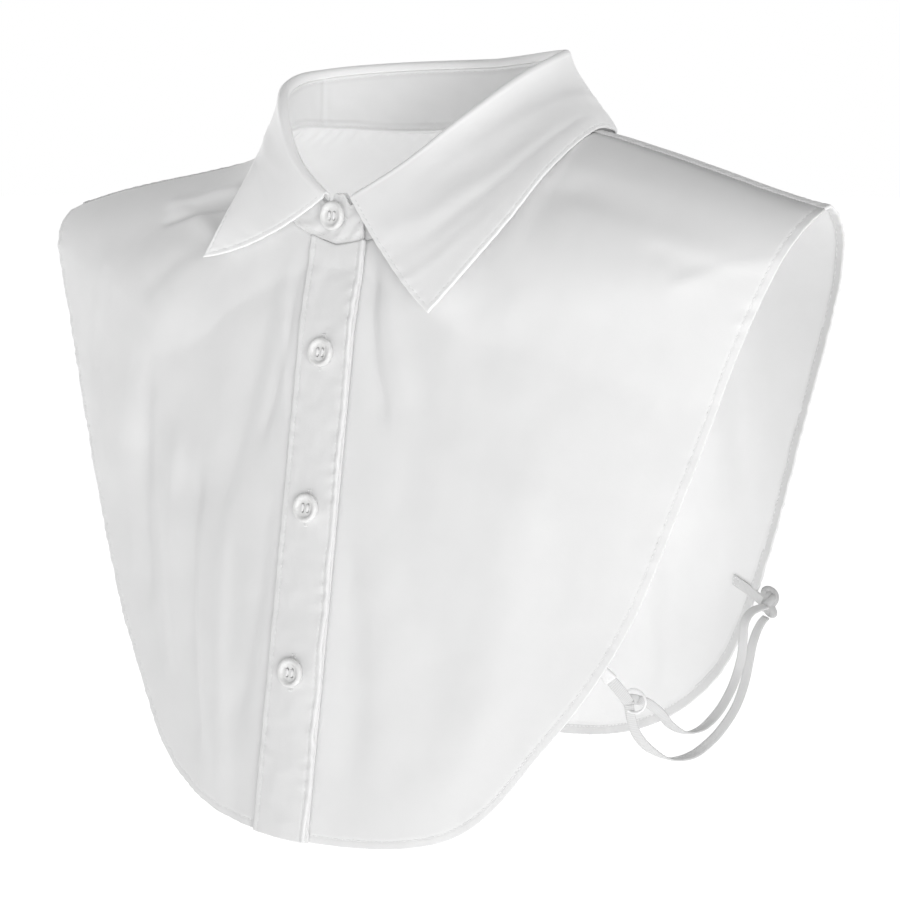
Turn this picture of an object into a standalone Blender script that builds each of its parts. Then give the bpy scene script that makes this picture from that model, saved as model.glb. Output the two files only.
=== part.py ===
# Detachable shirt collar: a dickey of plain cotton poplin, worn round the neck under a jumper.
# Metres, +Z up. The front faces -Y and the wearer's left side is at +X.
# The origin lies midway between the two points where the shoulder ridge meets the neck.
# The cloth keeps the hollow form that it has on the wearer: neck, hem and both sides are open.

import math

import bmesh
import bpy
import numpy as np
from mathutils import Vector

# Driving dimensions
HALF_SHOULDER = 0.200
NECK_HALF_WIDTH = 0.064
ROLL_HALF_WIDTH = 0.0623
ROLL_HALF_DEPTH = 0.0589
ROLL_CENTRE_Y = 0.0124
PANEL_WALL = 0.0012
COLLAR_WALL = 0.0016
PLACKET_WALL = 0.0010
PLACKET_WIDTH = 0.028
SEAM_GAP = 0.0003
SEAM_FORWARD = 0.006
LAYER_SHIFT = 0.0008
STAND_SHIFT = 0.0012
LAYER_FADE_START = 0.020
LAYER_FADE_END = 0.060
BUTTON_RADIUS = 0.00625
BUTTON_HEIGHT = 0.0026
TAPE_WALL = 0.0010
ELASTIC_DIAMETER = 0.0040

# Shoulder ridge: it slopes from the neck to the shoulder's end and rises towards the neck
RIDGE_SLOPE = 0.238
RIDGE_START = 0.060
RIDGE_CROWN = 0.026
CROWN_END = 0.080
RIDGE_BACK = 0.0174

# The photographed shoulders differ: how much higher each side's ridge runs between neck and end
SHOULDER_RISE = {
    "across": [0.0, 0.062, 0.090, 0.120, 0.150, 0.175, 0.200],
    "left": [0.0, 0.0, 0.0050, 0.0046, 0.0028, 0.0010, 0.0],
    "right": [0.0, 0.0, -0.0048, -0.0038, -0.0014, 0.0, 0.0],
}

# Each side of the garment leaves the ridge as a quarter of an ellipse and then hangs down.
# reach is how far the cloth stands from the ridge, fall how far down the quarter ellipse goes,
# each at the centre and at the shoulder's end, and lean how the hanging part slopes outwards.
SIDE_FORM = {
    "front": {"reach": (0.0684, 0.0260), "bend": 2.33, "fall": (0.1220, 0.0227), "lean": 0.179},
    "back": {"reach": (0.0850, 0.0205), "bend": 2.06, "fall": (0.1000, 0.0340), "lean": 0.0},
}
LEAN_START = 0.086

# Hem outline of each panel, from the centre to the shoulder's end
FRONT_HEM = {
    "share": [0.0, 0.17, 0.33, 0.50, 0.67, 0.83, 1.0],
    "left": [0.0, 0.0750, 0.1125, 0.1415, 0.1625, 0.1810, 0.2000],
    "right": [0.0, 0.0765, 0.1160, 0.1440, 0.1672, 0.1868, 0.2000],
    "height": [-0.2985, -0.2885, -0.2465, -0.1980, -0.1380, -0.0800, -0.0333],
}
BACK_HEM = {
    "share": [0.0, 0.17, 0.33, 0.50, 0.67, 0.83, 1.0],
    "across": [0.0, 0.0700, 0.1215, 0.1505, 0.1755, 0.1960, 0.2000],
    "height": [-0.3000, -0.2860, -0.2490, -0.1965, -0.1240, -0.0620, -0.0333],
}

# Neck seam: how far the cloth has turned over the ridge, -1 is hanging at the front
NECK_SEAM = {
    "angle": [0.0, 30.0, 60.0, 90.0, 120.0, 150.0, 180.0],
    "turn": [-0.775, -0.687, -0.384, 0.0, 0.247, 0.415, 0.458],
}

# Roll line of the collar, by the angle round the neck from the centre front
ROLL_LINE = {
    "angle": [0.0, 25.0, 50.0, 75.0, 100.0, 135.0, 180.0],
    "left": [-0.0331, -0.0176, 0.0032, 0.0205, 0.0300, 0.0345, 0.0336],
    "right": [-0.0331, -0.0140, 0.0120, 0.0235, 0.0285, 0.0325, 0.0336],
}

# Outer edge of the turned-down collar, from its point round to the centre back
FALL_EDGE_LEFT = {
    "angle": [6.5, 30.0, 50.0, 70.0, 90.0, 110.0, 130.0, 150.0, 180.0],
    "across": [0.0583, 0.0735, 0.0860, 0.0950, 0.0965, 0.0885, 0.0720, 0.0450, 0.0],
    "depth": [-0.0655, -0.0610, -0.0500, -0.0290, 0.0010, 0.0300, 0.0560, 0.0770, 0.0880],
    "height": [-0.0752, -0.0580, -0.0390, -0.0158, -0.0014, -0.0014, -0.0040, -0.0070, -0.0090],
}
FALL_EDGE_RIGHT = {
    "angle": [6.5, 30.0, 50.0, 70.0, 90.0, 110.0, 130.0, 150.0, 180.0],
    "across": [0.0670, 0.0615, 0.0590, 0.0660, 0.0770, 0.0815, 0.0710, 0.0450, 0.0],
    "depth": [-0.0605, -0.0540, -0.0420, -0.0220, 0.0010, 0.0280, 0.0550, 0.0770, 0.0880],
    "height": [-0.0560, -0.0405, -0.0243, -0.0091, -0.0043, -0.0040, -0.0045, -0.0070, -0.0090],
}

# Shape of the turned-down collar between roll line and edge: how far it first runs out and down,
# how soon it does, how full it is near the edge, and how far the front edge sags
FALL_FORM = {
    "side": ["left", "right"],
    "out": [0.30, 0.16],
    "down": [0.95, 1.0],
    "first": [0.34, 0.34],
    "last": [0.30, 0.30],
    "full": [0.05, 0.02],
    "sag": [0.0045, 0.0060],
}
FALL_STRAIGHT_TURN = 40.0
FALL_START = 6.5
FOLD_RISE = 0.0014
FOLD_RADIUS = 0.0018
FOLD_LEG = 0.0018

# Soft folds that show from a step away: a line on the panel, its width and how far it stands out
FOLDS = {
    "side": ["front", "front", "front", "front", "front", "front", "back", "back", "back"],
    "across_1": [0.098, -0.100, -0.075, -0.118, 0.055, -0.090, -0.120, 0.120, 0.030],
    "height_1": [-0.028, -0.034, -0.180, -0.150, -0.085, -0.060, -0.040, -0.040, -0.060],
    "across_2": [0.178, -0.165, -0.040, -0.092, 0.120, -0.140, -0.080, 0.085, 0.045],
    "height_2": [-0.046, -0.052, -0.285, -0.235, -0.200, -0.150, -0.180, -0.170, -0.230],
    "width": [0.012, 0.013, 0.016, 0.014, 0.020, 0.018, 0.018, 0.018, 0.020],
    "out": [-0.0030, -0.0022, 0.0022, -0.0020, -0.0018, 0.0020, 0.0025, -0.0025, 0.0022],
}
FOLD_KEEP_CENTRE = 0.026

BUTTON_DROPS = [-0.095, -0.160, -0.229]
STAND_BUTTON_ACROSS = -0.0020
STAND_BUTTON_SHARE = 0.50

# Elastic: from the knot behind the back panel's edge to the tab inside the front panel's edge
KNOT_CENTRE = (0.1555, 0.0535, -0.2035)
KNOT_RADII = (0.0035, 0.0035, 0.0065)
ELASTIC_INNER = [
    (0.1552, 0.0496, -0.2045), (0.1526, 0.0408, -0.2056), (0.1520, 0.0354, -0.2095),
    (0.1522, 0.0338, -0.2160), (0.1519, 0.0335, -0.2230), (0.1511, 0.0319, -0.2297),
    (0.1509, 0.0269, -0.2361), (0.1508, 0.0184, -0.2419), (0.1504, 0.0096, -0.2457),
    (0.1494, 0.0008, -0.2479), (0.1470, -0.0082, -0.2475), (0.1444, -0.0162, -0.2427),
    (0.1430, -0.0227, -0.2360), (0.1416, -0.0302, -0.2305), (0.1399, -0.0361, -0.2279),
]
ELASTIC_OUTER = [
    (0.1543, 0.0519, -0.2100), (0.1529, 0.0482, -0.2134), (0.1524, 0.0433, -0.2197),
    (0.1524, 0.0399, -0.2276), (0.1525, 0.0353, -0.2365), (0.1522, 0.0279, -0.2450),
    (0.1511, 0.0180, -0.2516), (0.1498, 0.0081, -0.2557), (0.1478, -0.0036, -0.2583),
    (0.1442, -0.0158, -0.2572), (0.1406, -0.0263, -0.2509), (0.1385, -0.0336, -0.2433),
    (0.1380, -0.0378, -0.2354), (0.1382, -0.0400, -0.2290),
]
TAB_FRONT_SEATED = {"across": [0.1240, 0.1272, 0.1304], "height": [-0.2046, -0.2082, -0.2118]}
TAB_FRONT_FREE = [(0.1343, -0.0494, -0.2168), (0.1371, -0.0457, -0.2222), (0.1383, -0.0406, -0.2282)]
TAB_FRONT_SEATED_HALF = (0.0021, 0.0, 0.0018)
TAB_FRONT_FREE_HALF = [(0.0013, 0.0006, 0.0016), (0.0011, 0.0010, 0.0016), (0.0016, 0.0012, 0.0008)]
TAB_BACK_ACROSS = [0.1340, 0.1390, 0.1440, 0.1478, 0.1514]
TAB_BACK_HEIGHT = [-0.1977, -0.1988, -0.2000, -0.2012, -0.2025]
TAB_BACK_HALF_WIDTH = 0.0024
TAPE_SEAT = PANEL_WALL / 2 + SEAM_GAP + TAPE_WALL / 2

# Placket on the right front's edge, and the calm, straight cloth along the shoulder seams
PLACKET_EDGE = PLACKET_WIDTH / 2
PLACKET_TOP = 0.004
PLACKET_GAP = 0.0005
NECK_BAND_ANGLE = math.degrees(math.asin(PLACKET_EDGE / NECK_HALF_WIDTH))
SEAM_DRAW = 6
SEAM_CALM = 0.15

# Collar stand: its ends cross at the centre front, turning inside and outside over some degrees,
# and rise between the two ends of the turned-down collar
STAND_OVERLAP = 11.5
STAND_TURN = 50.0
STAND_END_RISE = 0.0075
END_RISE_FADE = (1.0, 5.5)
FRONT_SLACK = 0.0010
STAND_GAP = 0.0008
STAND_BUTTON_GAP = 0.0005

# Holes of the buttons, half their spacing, and the outline of a button as shares of its sizes
HOLE_RADIUS = 0.0008
HOLE_SPACING = 0.0013
BUTTON_OUTLINE = {
    "across": [0.0, 0.58, 0.70, 0.86, 0.98, 1.0, 0.90, 0.0],
    "up": [0.55, 0.55, 0.95, 1.0, 0.72, 0.40, 0.0, 0.0],
}

# Fineness of the meshes
FRONT_COLUMNS = 22
FRONT_ROWS = 18
BAND_COLUMNS = 3
BACK_COLUMNS = 40
BACK_ROWS = 16
STAND_COLUMNS = 120
STAND_ROWS = 3
FALL_COLUMNS = 48
FALL_ROWS = 12
FOLD_ROWS = 5
BUTTON_STEPS = 20
HOLE_STEPS = 8
KNOT_STEPS = (14, 9)
ELASTIC_SPACING = 0.0085
ELASTIC_RING = 2
SHARP_ANGLE = math.radians(50)
FORM_STEP = 0.002

# Colours of the white cloth, the buttons and the elastic
COTTON = (0.83, 0.83, 0.83)
BUTTON_WHITE = (0.86, 0.86, 0.85)
ELASTIC_WHITE = (0.78, 0.78, 0.78)
COTTON_ROUGHNESS = 0.85
BUTTON_ROUGHNESS = 0.35
ELASTIC_ROUGHNESS = 0.70


def clear_scene():
    for item in list(bpy.data.objects):
        bpy.data.objects.remove(item, do_unlink=True)


def make_material(name, colour, roughness):
    material = bpy.data.materials.new(name)
    material.use_nodes = True
    shader = material.node_tree.nodes["Principled BSDF"]
    shader.inputs["Base Color"].default_value = (*colour, 1.0)
    shader.inputs["Roughness"].default_value = roughness
    shader.inputs["Metallic"].default_value = 0.0
    return material


def smooth_read(table, column, place, key="share", flat_start=False):
    """Value of a column at a place, on a smooth curve through the table's rows."""
    steps = np.asarray(table[key], float)
    values = np.asarray(table[column], float)
    widths = np.diff(steps)
    slopes = np.diff(values) / widths
    tangents = np.empty_like(values)
    tangents[1:-1] = (slopes[:-1] * widths[1:] + slopes[1:] * widths[:-1]) / (widths[1:] + widths[:-1])
    tangents[0] = 1.5 * slopes[0] - 0.5 * tangents[1]
    tangents[-1] = 1.5 * slopes[-1] - 0.5 * tangents[-2]
    if flat_start:
        tangents[0] = 0.0
    row = int(np.clip(np.searchsorted(steps, place, side="right") - 1, 0, len(steps) - 2))
    width = widths[row]
    t = (place - steps[row]) / width
    return (
        (2 * t**3 - 3 * t**2 + 1) * values[row]
        + (t**3 - 2 * t**2 + t) * width * tangents[row]
        + (3 * t**2 - 2 * t**3) * values[row + 1]
        + (t**3 - t**2) * width * tangents[row + 1]
    )


def fade(value, start, end):
    """1 up to start, 0 from end on, smooth between them."""
    t = min(max((value - start) / (end - start), 0.0), 1.0)
    return 1.0 - t * t * (3.0 - 2.0 * t)


def side_name(across):
    return "left" if across >= 0 else "right"


def ridge_height(across):
    crown = max(1.0 - (abs(across) / CROWN_END) ** 2, 0.0) ** 2 * RIDGE_CROWN
    rise = smooth_read(SHOULDER_RISE, side_name(across), abs(across), "across")
    return crown + rise - RIDGE_SLOPE * max(abs(across) - RIDGE_START, 0.0)


def ridge_depth(across):
    return RIDGE_BACK * (1.0 - abs(across) / HALF_SHOULDER)


def side_sizes(across, side):
    form = SIDE_FORM[side]
    share = abs(across) / HALF_SHOULDER
    reach = form["reach"][0] + (form["reach"][1] - form["reach"][0]) * share ** form["bend"]
    fall = form["fall"][0] + (form["fall"][1] - form["fall"][0]) * share
    return reach, fall, form["lean"] * (1.0 - share)


def cloth_point(across, turn):
    """Point of the garment's form: turn is 0 on the ridge, -1 or 1 where the cloth hangs."""
    side = "front" if turn < 0 else "back"
    reach, fall, lean = side_sizes(across, side)
    angle = min(abs(turn), 1.0) * math.pi / 2
    drop = fall * (1.0 - math.cos(angle)) + max(abs(turn) - 1.0, 0.0) * fall * math.pi / 2
    out = reach * math.sin(angle) + lean * max(drop - LEAN_START, 0.0)
    if side == "front":
        out = -out
    return Vector((across, ridge_depth(across) + out, ridge_height(across) - drop))


def turn_at_height(across, height, side):
    _, fall, _ = side_sizes(across, side)
    drop = max(ridge_height(across) - height, 0.0)
    if drop <= fall:
        turn = math.acos(1.0 - drop / fall) / (math.pi / 2)
    else:
        turn = 1.0 + (drop - fall) / (fall * math.pi / 2)
    return -turn if side == "front" else turn


def cloth_normal(across, turn):
    """Outward direction of the form, from two short steps along it."""
    along = cloth_point(across + FORM_STEP, turn) - cloth_point(across - FORM_STEP, turn)
    over = cloth_point(across, turn + FORM_STEP) - cloth_point(across, turn - FORM_STEP)
    return along.cross(over).normalized()


def fold_height(across, height, side):
    """How far the soft folds push the cloth out at a place on a panel."""
    total = 0.0
    for row, fold_side in enumerate(FOLDS["side"]):
        if fold_side != side:
            continue
        x1, z1 = FOLDS["across_1"][row], FOLDS["height_1"][row]
        x2, z2 = FOLDS["across_2"][row], FOLDS["height_2"][row]
        length = math.hypot(x2 - x1, z2 - z1)
        along = ((across - x1) * (x2 - x1) + (height - z1) * (z2 - z1)) / length
        aside = ((across - x1) * (z2 - z1) - (height - z1) * (x2 - x1)) / length
        past = max(-along, along - length, 0.0)
        width = FOLDS["width"][row]
        total += FOLDS["out"][row] * math.exp(-(aside**2 + past**2) / width**2)
    return total * (1.0 - fade(abs(across), FOLD_KEEP_CENTRE / 2, FOLD_KEEP_CENTRE * 2))


def panel_point(across, turn, side, layer=0.0, out=0.0, calm=0.0):
    """Point of a panel's middle surface, moved out by its layer, its folds and a given distance."""
    point = cloth_point(across, turn)
    shift = layer * LAYER_SHIFT * fade(abs(across), LAYER_FADE_START, LAYER_FADE_END)
    shift += fold_height(across, point.z, side) * (1.0 - calm) + out
    return point + cloth_normal(across, turn) * shift


def grid_normals(points):
    """Normals of a grid of points, from each point's neighbours along both ways of the grid."""
    along = np.gradient(points, axis=0)
    over = np.gradient(points, axis=1)
    normals = np.cross(along, over)
    return normals / np.linalg.norm(normals, axis=2, keepdims=True)


def wall_object(name, columns, rows, place, wall, material, normal=None):
    """A grid with its points set by place(column share, row share), drawn out into a closed wall.

    The wall lies half to each side of those points, along normal(column share, row share) where
    that is given, so that walls which meet at a seam have parallel ends.
    """
    steps = [(column, row) for column in range(columns + 1) for row in range(rows + 1)]
    points = np.empty((columns + 1, rows + 1, 3))
    for column, row in steps:
        points[column, row] = place(column / columns, row / rows)
    normals = grid_normals(points)
    if normal:
        for column, row in steps:
            normals[column, row] = normal(column / columns, row / rows)
    mesh_data = bmesh.new()
    bmesh.ops.create_grid(mesh_data, x_segments=columns, y_segments=rows, size=1.0)
    inner = list(mesh_data.verts)
    drawn = bmesh.ops.extrude_face_region(mesh_data, geom=mesh_data.faces[:], use_keep_orig=True)
    outer = [piece for piece in drawn["geom"] if isinstance(piece, bmesh.types.BMVert)]
    for side, vertices in ((-0.5, inner), (0.5, outer)):
        for vertex in vertices:
            column = round((vertex.co.x + 1.0) / 2.0 * columns)
            row = round((vertex.co.y + 1.0) / 2.0 * rows)
            vertex.co = points[column, row] + normals[column, row] * wall * side
    bmesh.ops.recalc_face_normals(mesh_data, faces=mesh_data.faces)
    if mesh_data.calc_volume(signed=True) < 0:
        bmesh.ops.reverse_faces(mesh_data, faces=mesh_data.faces)
    mesh = bpy.data.meshes.new(name)
    mesh_data.to_mesh(mesh)
    mesh_data.free()
    item = bpy.data.objects.new(name, mesh)
    bpy.context.scene.collection.objects.link(item)
    mesh.materials.append(material)
    mesh.shade_smooth()
    mesh.set_sharp_from_angle(angle=SHARP_ANGLE)
    return item


def hem_share_at(across, side):
    return across / FRONT_HEM[side][1] * FRONT_HEM["share"][1]


def front_ends(column, mirror):
    """Neck and hem ends of one column of a front panel: across and turn of each."""
    side = side_name(mirror)
    band_share = BAND_COLUMNS / FRONT_COLUMNS
    if column <= band_share:
        across = -PLACKET_EDGE + 2 * PLACKET_EDGE * column / band_share
        angle = math.degrees(math.asin(abs(across) / NECK_HALF_WIDTH))
        share = hem_share_at(abs(across), side)
        neck_across, hem_across = across, across
    else:
        t = (column - band_share) / (1.0 - band_share)
        angle = NECK_BAND_ANGLE + (90.0 - NECK_BAND_ANGLE) * t
        first = hem_share_at(PLACKET_EDGE, side)
        share = first + (1.0 - first) * t
        neck_across = NECK_HALF_WIDTH * math.sin(math.radians(angle))
        hem_across = smooth_read(FRONT_HEM, side, share)
    neck_turn = smooth_read(NECK_SEAM, "turn", angle, "angle")
    hem_height = smooth_read(FRONT_HEM, "height", share, flat_start=True)
    hem_turn = turn_at_height(mirror * hem_across, hem_height, "front")
    return (neck_across, neck_turn), (hem_across, hem_turn)


def seam_turn(across, gap):
    """Turn at which the shoulder seam lies, a little forward of the ridge."""
    reach, _, _ = side_sizes(across, "front")
    return -math.asin((SEAM_FORWARD + gap) / reach) / (math.pi / 2)


def front_spot(column, row, mirror):
    """Across and turn of a front panel's point: column 0 is past the centre, 1 the shoulder seam."""
    (neck_across, neck_turn), (hem_across, hem_turn) = front_ends(column, mirror)
    across = neck_across + (hem_across - neck_across) * row
    turn = neck_turn + (hem_turn - neck_turn) * row
    return mirror * across, turn + seam_turn(across, SEAM_GAP / 2) * column**SEAM_DRAW


def front_place(mirror, layer):
    def place(column, row):
        across, turn = front_spot(column, row, mirror)
        calm = fade(1.0 - column, 0.0, SEAM_CALM)
        return panel_point(across, turn, "front", layer, 0.0, calm)
    return place


def front_normal(mirror):
    def normal(column, row):
        return cloth_normal(*front_spot(column, row, mirror))
    return normal


def back_spot(column, row):
    """Across and turn of the back panel's point: column runs from the right seam to the left."""
    side = 2.0 * column - 1.0
    share = abs(side)
    angle = 180.0 - 90.0 * share
    neck_across = NECK_HALF_WIDTH * math.sin(math.radians(angle))
    neck_turn = smooth_read(NECK_SEAM, "turn", angle, "angle")
    hem_across = smooth_read(BACK_HEM, "across", share)
    hem_height = smooth_read(BACK_HEM, "height", share, flat_start=True)
    hem_turn = turn_at_height(math.copysign(hem_across, side), hem_height, "back")
    across = neck_across + (hem_across - neck_across) * row
    turn = neck_turn + (hem_turn - neck_turn) * row
    turn += seam_turn(across, -SEAM_GAP / 2) * share**SEAM_DRAW
    return math.copysign(across, side), turn


def back_place(column, row):
    across, turn = back_spot(column, row)
    calm = fade(1.0 - abs(2.0 * column - 1.0), 0.0, SEAM_CALM)
    return panel_point(across, turn, "back", 0.0, 0.0, calm)


def back_normal(column, row):
    return cloth_normal(*back_spot(column, row))


def placket_spot(column, row):
    band_share = BAND_COLUMNS / FRONT_COLUMNS
    return front_spot((1.0 - column) * band_share, PLACKET_TOP + (1.0 - PLACKET_TOP) * row, -1)


def placket_place(column, row):
    """Place of the placket, made from the right front's points moved out."""
    across, turn = placket_spot(column, row)
    out = PANEL_WALL / 2 + PLACKET_GAP + PLACKET_WALL / 2
    return panel_point(across, turn, "front", 1.0, out, 0.0)


def placket_normal(column, row):
    return cloth_normal(*placket_spot(column, row))


def around(angle):
    """Direction out from the neck's middle at an angle from the centre front."""
    turn = math.radians(angle)
    return Vector((math.sin(turn), -math.cos(turn), 0.0))


def roll_point(angle):
    """Point of the roll line: angles above 0 lie on the wearer's left, below 0 on the right."""
    height = smooth_read(ROLL_LINE, side_name(angle), abs(angle), "angle")
    turn = math.radians(angle)
    across = ROLL_HALF_WIDTH * math.sin(turn)
    depth = ROLL_CENTRE_Y - ROLL_HALF_DEPTH * math.cos(turn)
    return Vector((across, depth, height))


def seam_point(angle):
    """Foot of the collar stand, standing on the panels' neck edge."""
    size = abs(angle)
    across = math.copysign(NECK_HALF_WIDTH * math.sin(math.radians(size)), angle)
    turn = smooth_read(NECK_SEAM, "turn", size, "angle")
    slack = PANEL_WALL / 2 * math.cos(min(abs(turn), 1.0) * math.pi / 2)
    slack += FRONT_SLACK * fade(size, STAND_OVERLAP, STAND_TURN)
    return cloth_point(across, turn) + Vector((0.0, 0.0, STAND_GAP + slack))


def stand_place(column, row):
    """Stand: from its left end, tucked under at the centre front, round to its right end on top."""
    run = -STAND_OVERLAP + (360.0 + 2 * STAND_OVERLAP) * column
    angle = run if run <= 180.0 else run - 360.0
    under = fade(run, STAND_OVERLAP, STAND_TURN)
    over = fade(360.0 - run, STAND_OVERLAP, STAND_TURN)
    foot = seam_point(angle)
    top = roll_point(angle if abs(angle) > STAND_OVERLAP else abs(angle))
    top.x = math.copysign(abs(top.x), angle)
    rise = STAND_END_RISE * fade(abs(angle), *END_RISE_FADE)
    top = top - Vector((0.0, 0.0, FOLD_RISE + FOLD_LEG + STAND_GAP - rise))
    return foot.lerp(top, row) + around(angle) * STAND_SHIFT * (over - under)


def fall_edge(angle):
    table = FALL_EDGE_LEFT if angle >= 0 else FALL_EDGE_RIGHT
    size = abs(angle)
    across = math.copysign(smooth_read(table, "across", size, "angle"), angle)
    depth = smooth_read(table, "depth", size, "angle")
    height = smooth_read(table, "height", size, "angle")
    return Vector((across, depth, height))


def fall_place(column, row):
    """Fall: a short leg over the stand, the fold, and the long leg down to the outer edge."""
    run = FALL_START + (360.0 - 2 * FALL_START) * column
    angle = run if run <= 180.0 else run - 360.0
    roll = roll_point(angle)
    outward = around(angle)
    form = {key: values[0 if angle >= 0 else 1] for key, values in FALL_FORM.items()}
    step = round(row * FALL_ROWS)
    down = Vector((0.0, 0.0, -1.0))
    hinge = roll + down * FOLD_RISE
    if step == 0:
        return hinge + down * FOLD_LEG
    if step <= FOLD_ROWS:
        turn = math.pi * (1.0 - (step - 1) / (FOLD_ROWS - 1))
        out = FOLD_RADIUS * (1.0 + math.cos(turn))
        return hinge + outward * out - down * FOLD_RADIUS * math.sin(turn)
    start = hinge + outward * 2 * FOLD_RADIUS
    edge = fall_edge(angle)
    length = (edge - start).length
    straight = fade(abs(angle) - FALL_START, 0.0, FALL_STRAIGHT_TURN)
    leave = (outward * form["out"] + down * form["down"]) * (1.0 - straight)
    leave += (edge - start) / length * straight
    sag = down * form["sag"] * straight
    first = start + leave * length * form["first"] + sag
    last = edge - (edge - start) * form["last"] + sag
    last += outward * length * form["full"] * (1.0 - straight)
    t = (step - FOLD_ROWS) / (FALL_ROWS - FOLD_ROWS)
    return (
        start * (1 - t) ** 3
        + first * 3 * t * (1 - t) ** 2
        + last * 3 * t**2 * (1 - t)
        + edge * t**3
    )


def make_button(name, centre, normal, material):
    """Four-hole button with a raised rim and a sunk middle, turned about its axis."""
    mesh_data = bmesh.new()
    points = [
        mesh_data.verts.new((BUTTON_RADIUS * across, 0.0, BUTTON_HEIGHT * up))
        for across, up in zip(BUTTON_OUTLINE["across"], BUTTON_OUTLINE["up"])
    ]
    edges = [mesh_data.edges.new(pair) for pair in zip(points[:-1], points[1:])]
    bmesh.ops.spin(
        mesh_data, geom=points + edges, cent=(0, 0, 0), axis=(0, 0, 1),
        angle=math.tau, steps=BUTTON_STEPS, use_merge=True,
    )
    bmesh.ops.remove_doubles(mesh_data, verts=mesh_data.verts, dist=1e-6)
    bmesh.ops.recalc_face_normals(mesh_data, faces=mesh_data.faces)
    mesh = bpy.data.meshes.new(name)
    mesh_data.to_mesh(mesh)
    mesh_data.free()
    mesh.materials.append(material)
    mesh.shade_smooth()
    mesh.set_sharp_from_angle(angle=SHARP_ANGLE)
    item = bpy.data.objects.new(name, mesh)
    bpy.context.scene.collection.objects.link(item)
    item.location = centre
    item.rotation_mode = "QUATERNION"
    item.rotation_quaternion = normal.to_track_quat("Z", "X")
    cutter = hole_cutter(name + "_holes")
    cutter.parent = item
    cut = item.modifiers.new("holes", "BOOLEAN")
    cut.operation = "DIFFERENCE"
    cut.object = cutter
    return item


def hole_cutter(name):
    mesh_data = bmesh.new()
    for side_x in (-1, 1):
        for side_y in (-1, 1):
            made = bmesh.ops.create_cone(
                mesh_data, cap_ends=True, segments=HOLE_STEPS, radius1=HOLE_RADIUS,
                radius2=HOLE_RADIUS, depth=4 * BUTTON_HEIGHT,
            )
            move = Vector((side_x * HOLE_SPACING, side_y * HOLE_SPACING, 0.0))
            bmesh.ops.translate(mesh_data, verts=made["verts"], vec=move)
    mesh = bpy.data.meshes.new(name)
    mesh_data.to_mesh(mesh)
    mesh_data.free()
    cutter = bpy.data.objects.new(name, mesh)
    bpy.context.scene.collection.objects.link(cutter)
    cutter.hide_render = True
    cutter.display_type = "WIRE"
    return cutter


def placket_button(number, height, material):
    turn = turn_at_height(0.0, height, "front")
    normal = cloth_normal(0.0, turn)
    out = PANEL_WALL / 2 + PLACKET_GAP + PLACKET_WALL + SEAM_GAP
    centre = panel_point(0.0, turn, "front", 1.0, out)
    return make_button(f"button_{number}", centre, normal, material)


def stand_button(material):
    """Button of the stand, at the centre front on the stand's right end."""
    column = (360.0 + STAND_OVERLAP + math.degrees(math.asin(STAND_BUTTON_ACROSS / NECK_HALF_WIDTH)))
    column /= 360.0 + 2 * STAND_OVERLAP
    step = 0.004
    middle = stand_place(column, STAND_BUTTON_SHARE)
    along = stand_place(column + step, STAND_BUTTON_SHARE) - stand_place(column - step, STAND_BUTTON_SHARE)
    up = stand_place(column, STAND_BUTTON_SHARE + 0.1) - stand_place(column, STAND_BUTTON_SHARE - 0.1)
    normal = along.cross(up).normalized()
    centre = middle + normal * (COLLAR_WALL / 2 + STAND_BUTTON_GAP)
    return make_button("button_stand", centre, normal, material)


def mirrored(point, mirror):
    return Vector((point[0] * mirror, point[1], point[2]))


def make_tab_front(name, mirror, material):
    """Tab sewn inside the front's edge: it lies on the panel and then hangs free behind it."""
    seated = len(TAB_FRONT_SEATED["across"])
    last = seated + len(TAB_FRONT_FREE) - 1

    def place(column, row):
        step = round(column * last)
        aside = 2.0 * row - 1.0
        if step >= seated:
            half = TAB_FRONT_FREE_HALF[step - seated]
            middle = TAB_FRONT_FREE[step - seated]
            return mirrored(middle, mirror) + mirrored(half, mirror) * aside
        across = TAB_FRONT_SEATED["across"][step] + TAB_FRONT_SEATED_HALF[0] * aside
        height = TAB_FRONT_SEATED["height"][step] + TAB_FRONT_SEATED_HALF[2] * aside
        turn = turn_at_height(mirror * across, height, "front")
        return panel_point(mirror * across, turn, "front", 0.0, -TAPE_SEAT)

    return wall_object(name, last, 1, place, TAPE_WALL, material)


def make_tab_back(name, mirror, material):
    last = len(TAB_BACK_ACROSS) - 1

    def place(column, row):
        step = round(column * last)
        across = TAB_BACK_ACROSS[step]
        height = TAB_BACK_HEIGHT[step] + TAB_BACK_HALF_WIDTH * (2.0 * row - 1.0)
        turn = turn_at_height(mirror * across, height, "back")
        return panel_point(mirror * across, turn, "back", 0.0, -TAPE_SEAT)

    return wall_object(name, last, 1, place, TAPE_WALL, material)


def make_knot(name, mirror, material):
    mesh_data = bmesh.new()
    around_steps, up_steps = KNOT_STEPS
    bmesh.ops.create_uvsphere(mesh_data, u_segments=around_steps, v_segments=up_steps, radius=1.0)
    bmesh.ops.scale(mesh_data, verts=mesh_data.verts, vec=KNOT_RADII)
    mesh = bpy.data.meshes.new(name)
    mesh_data.to_mesh(mesh)
    mesh_data.free()
    mesh.materials.append(material)
    mesh.shade_smooth()
    item = bpy.data.objects.new(name, mesh)
    bpy.context.scene.collection.objects.link(item)
    item.location = mirrored(KNOT_CENTRE, mirror)
    return item


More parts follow.
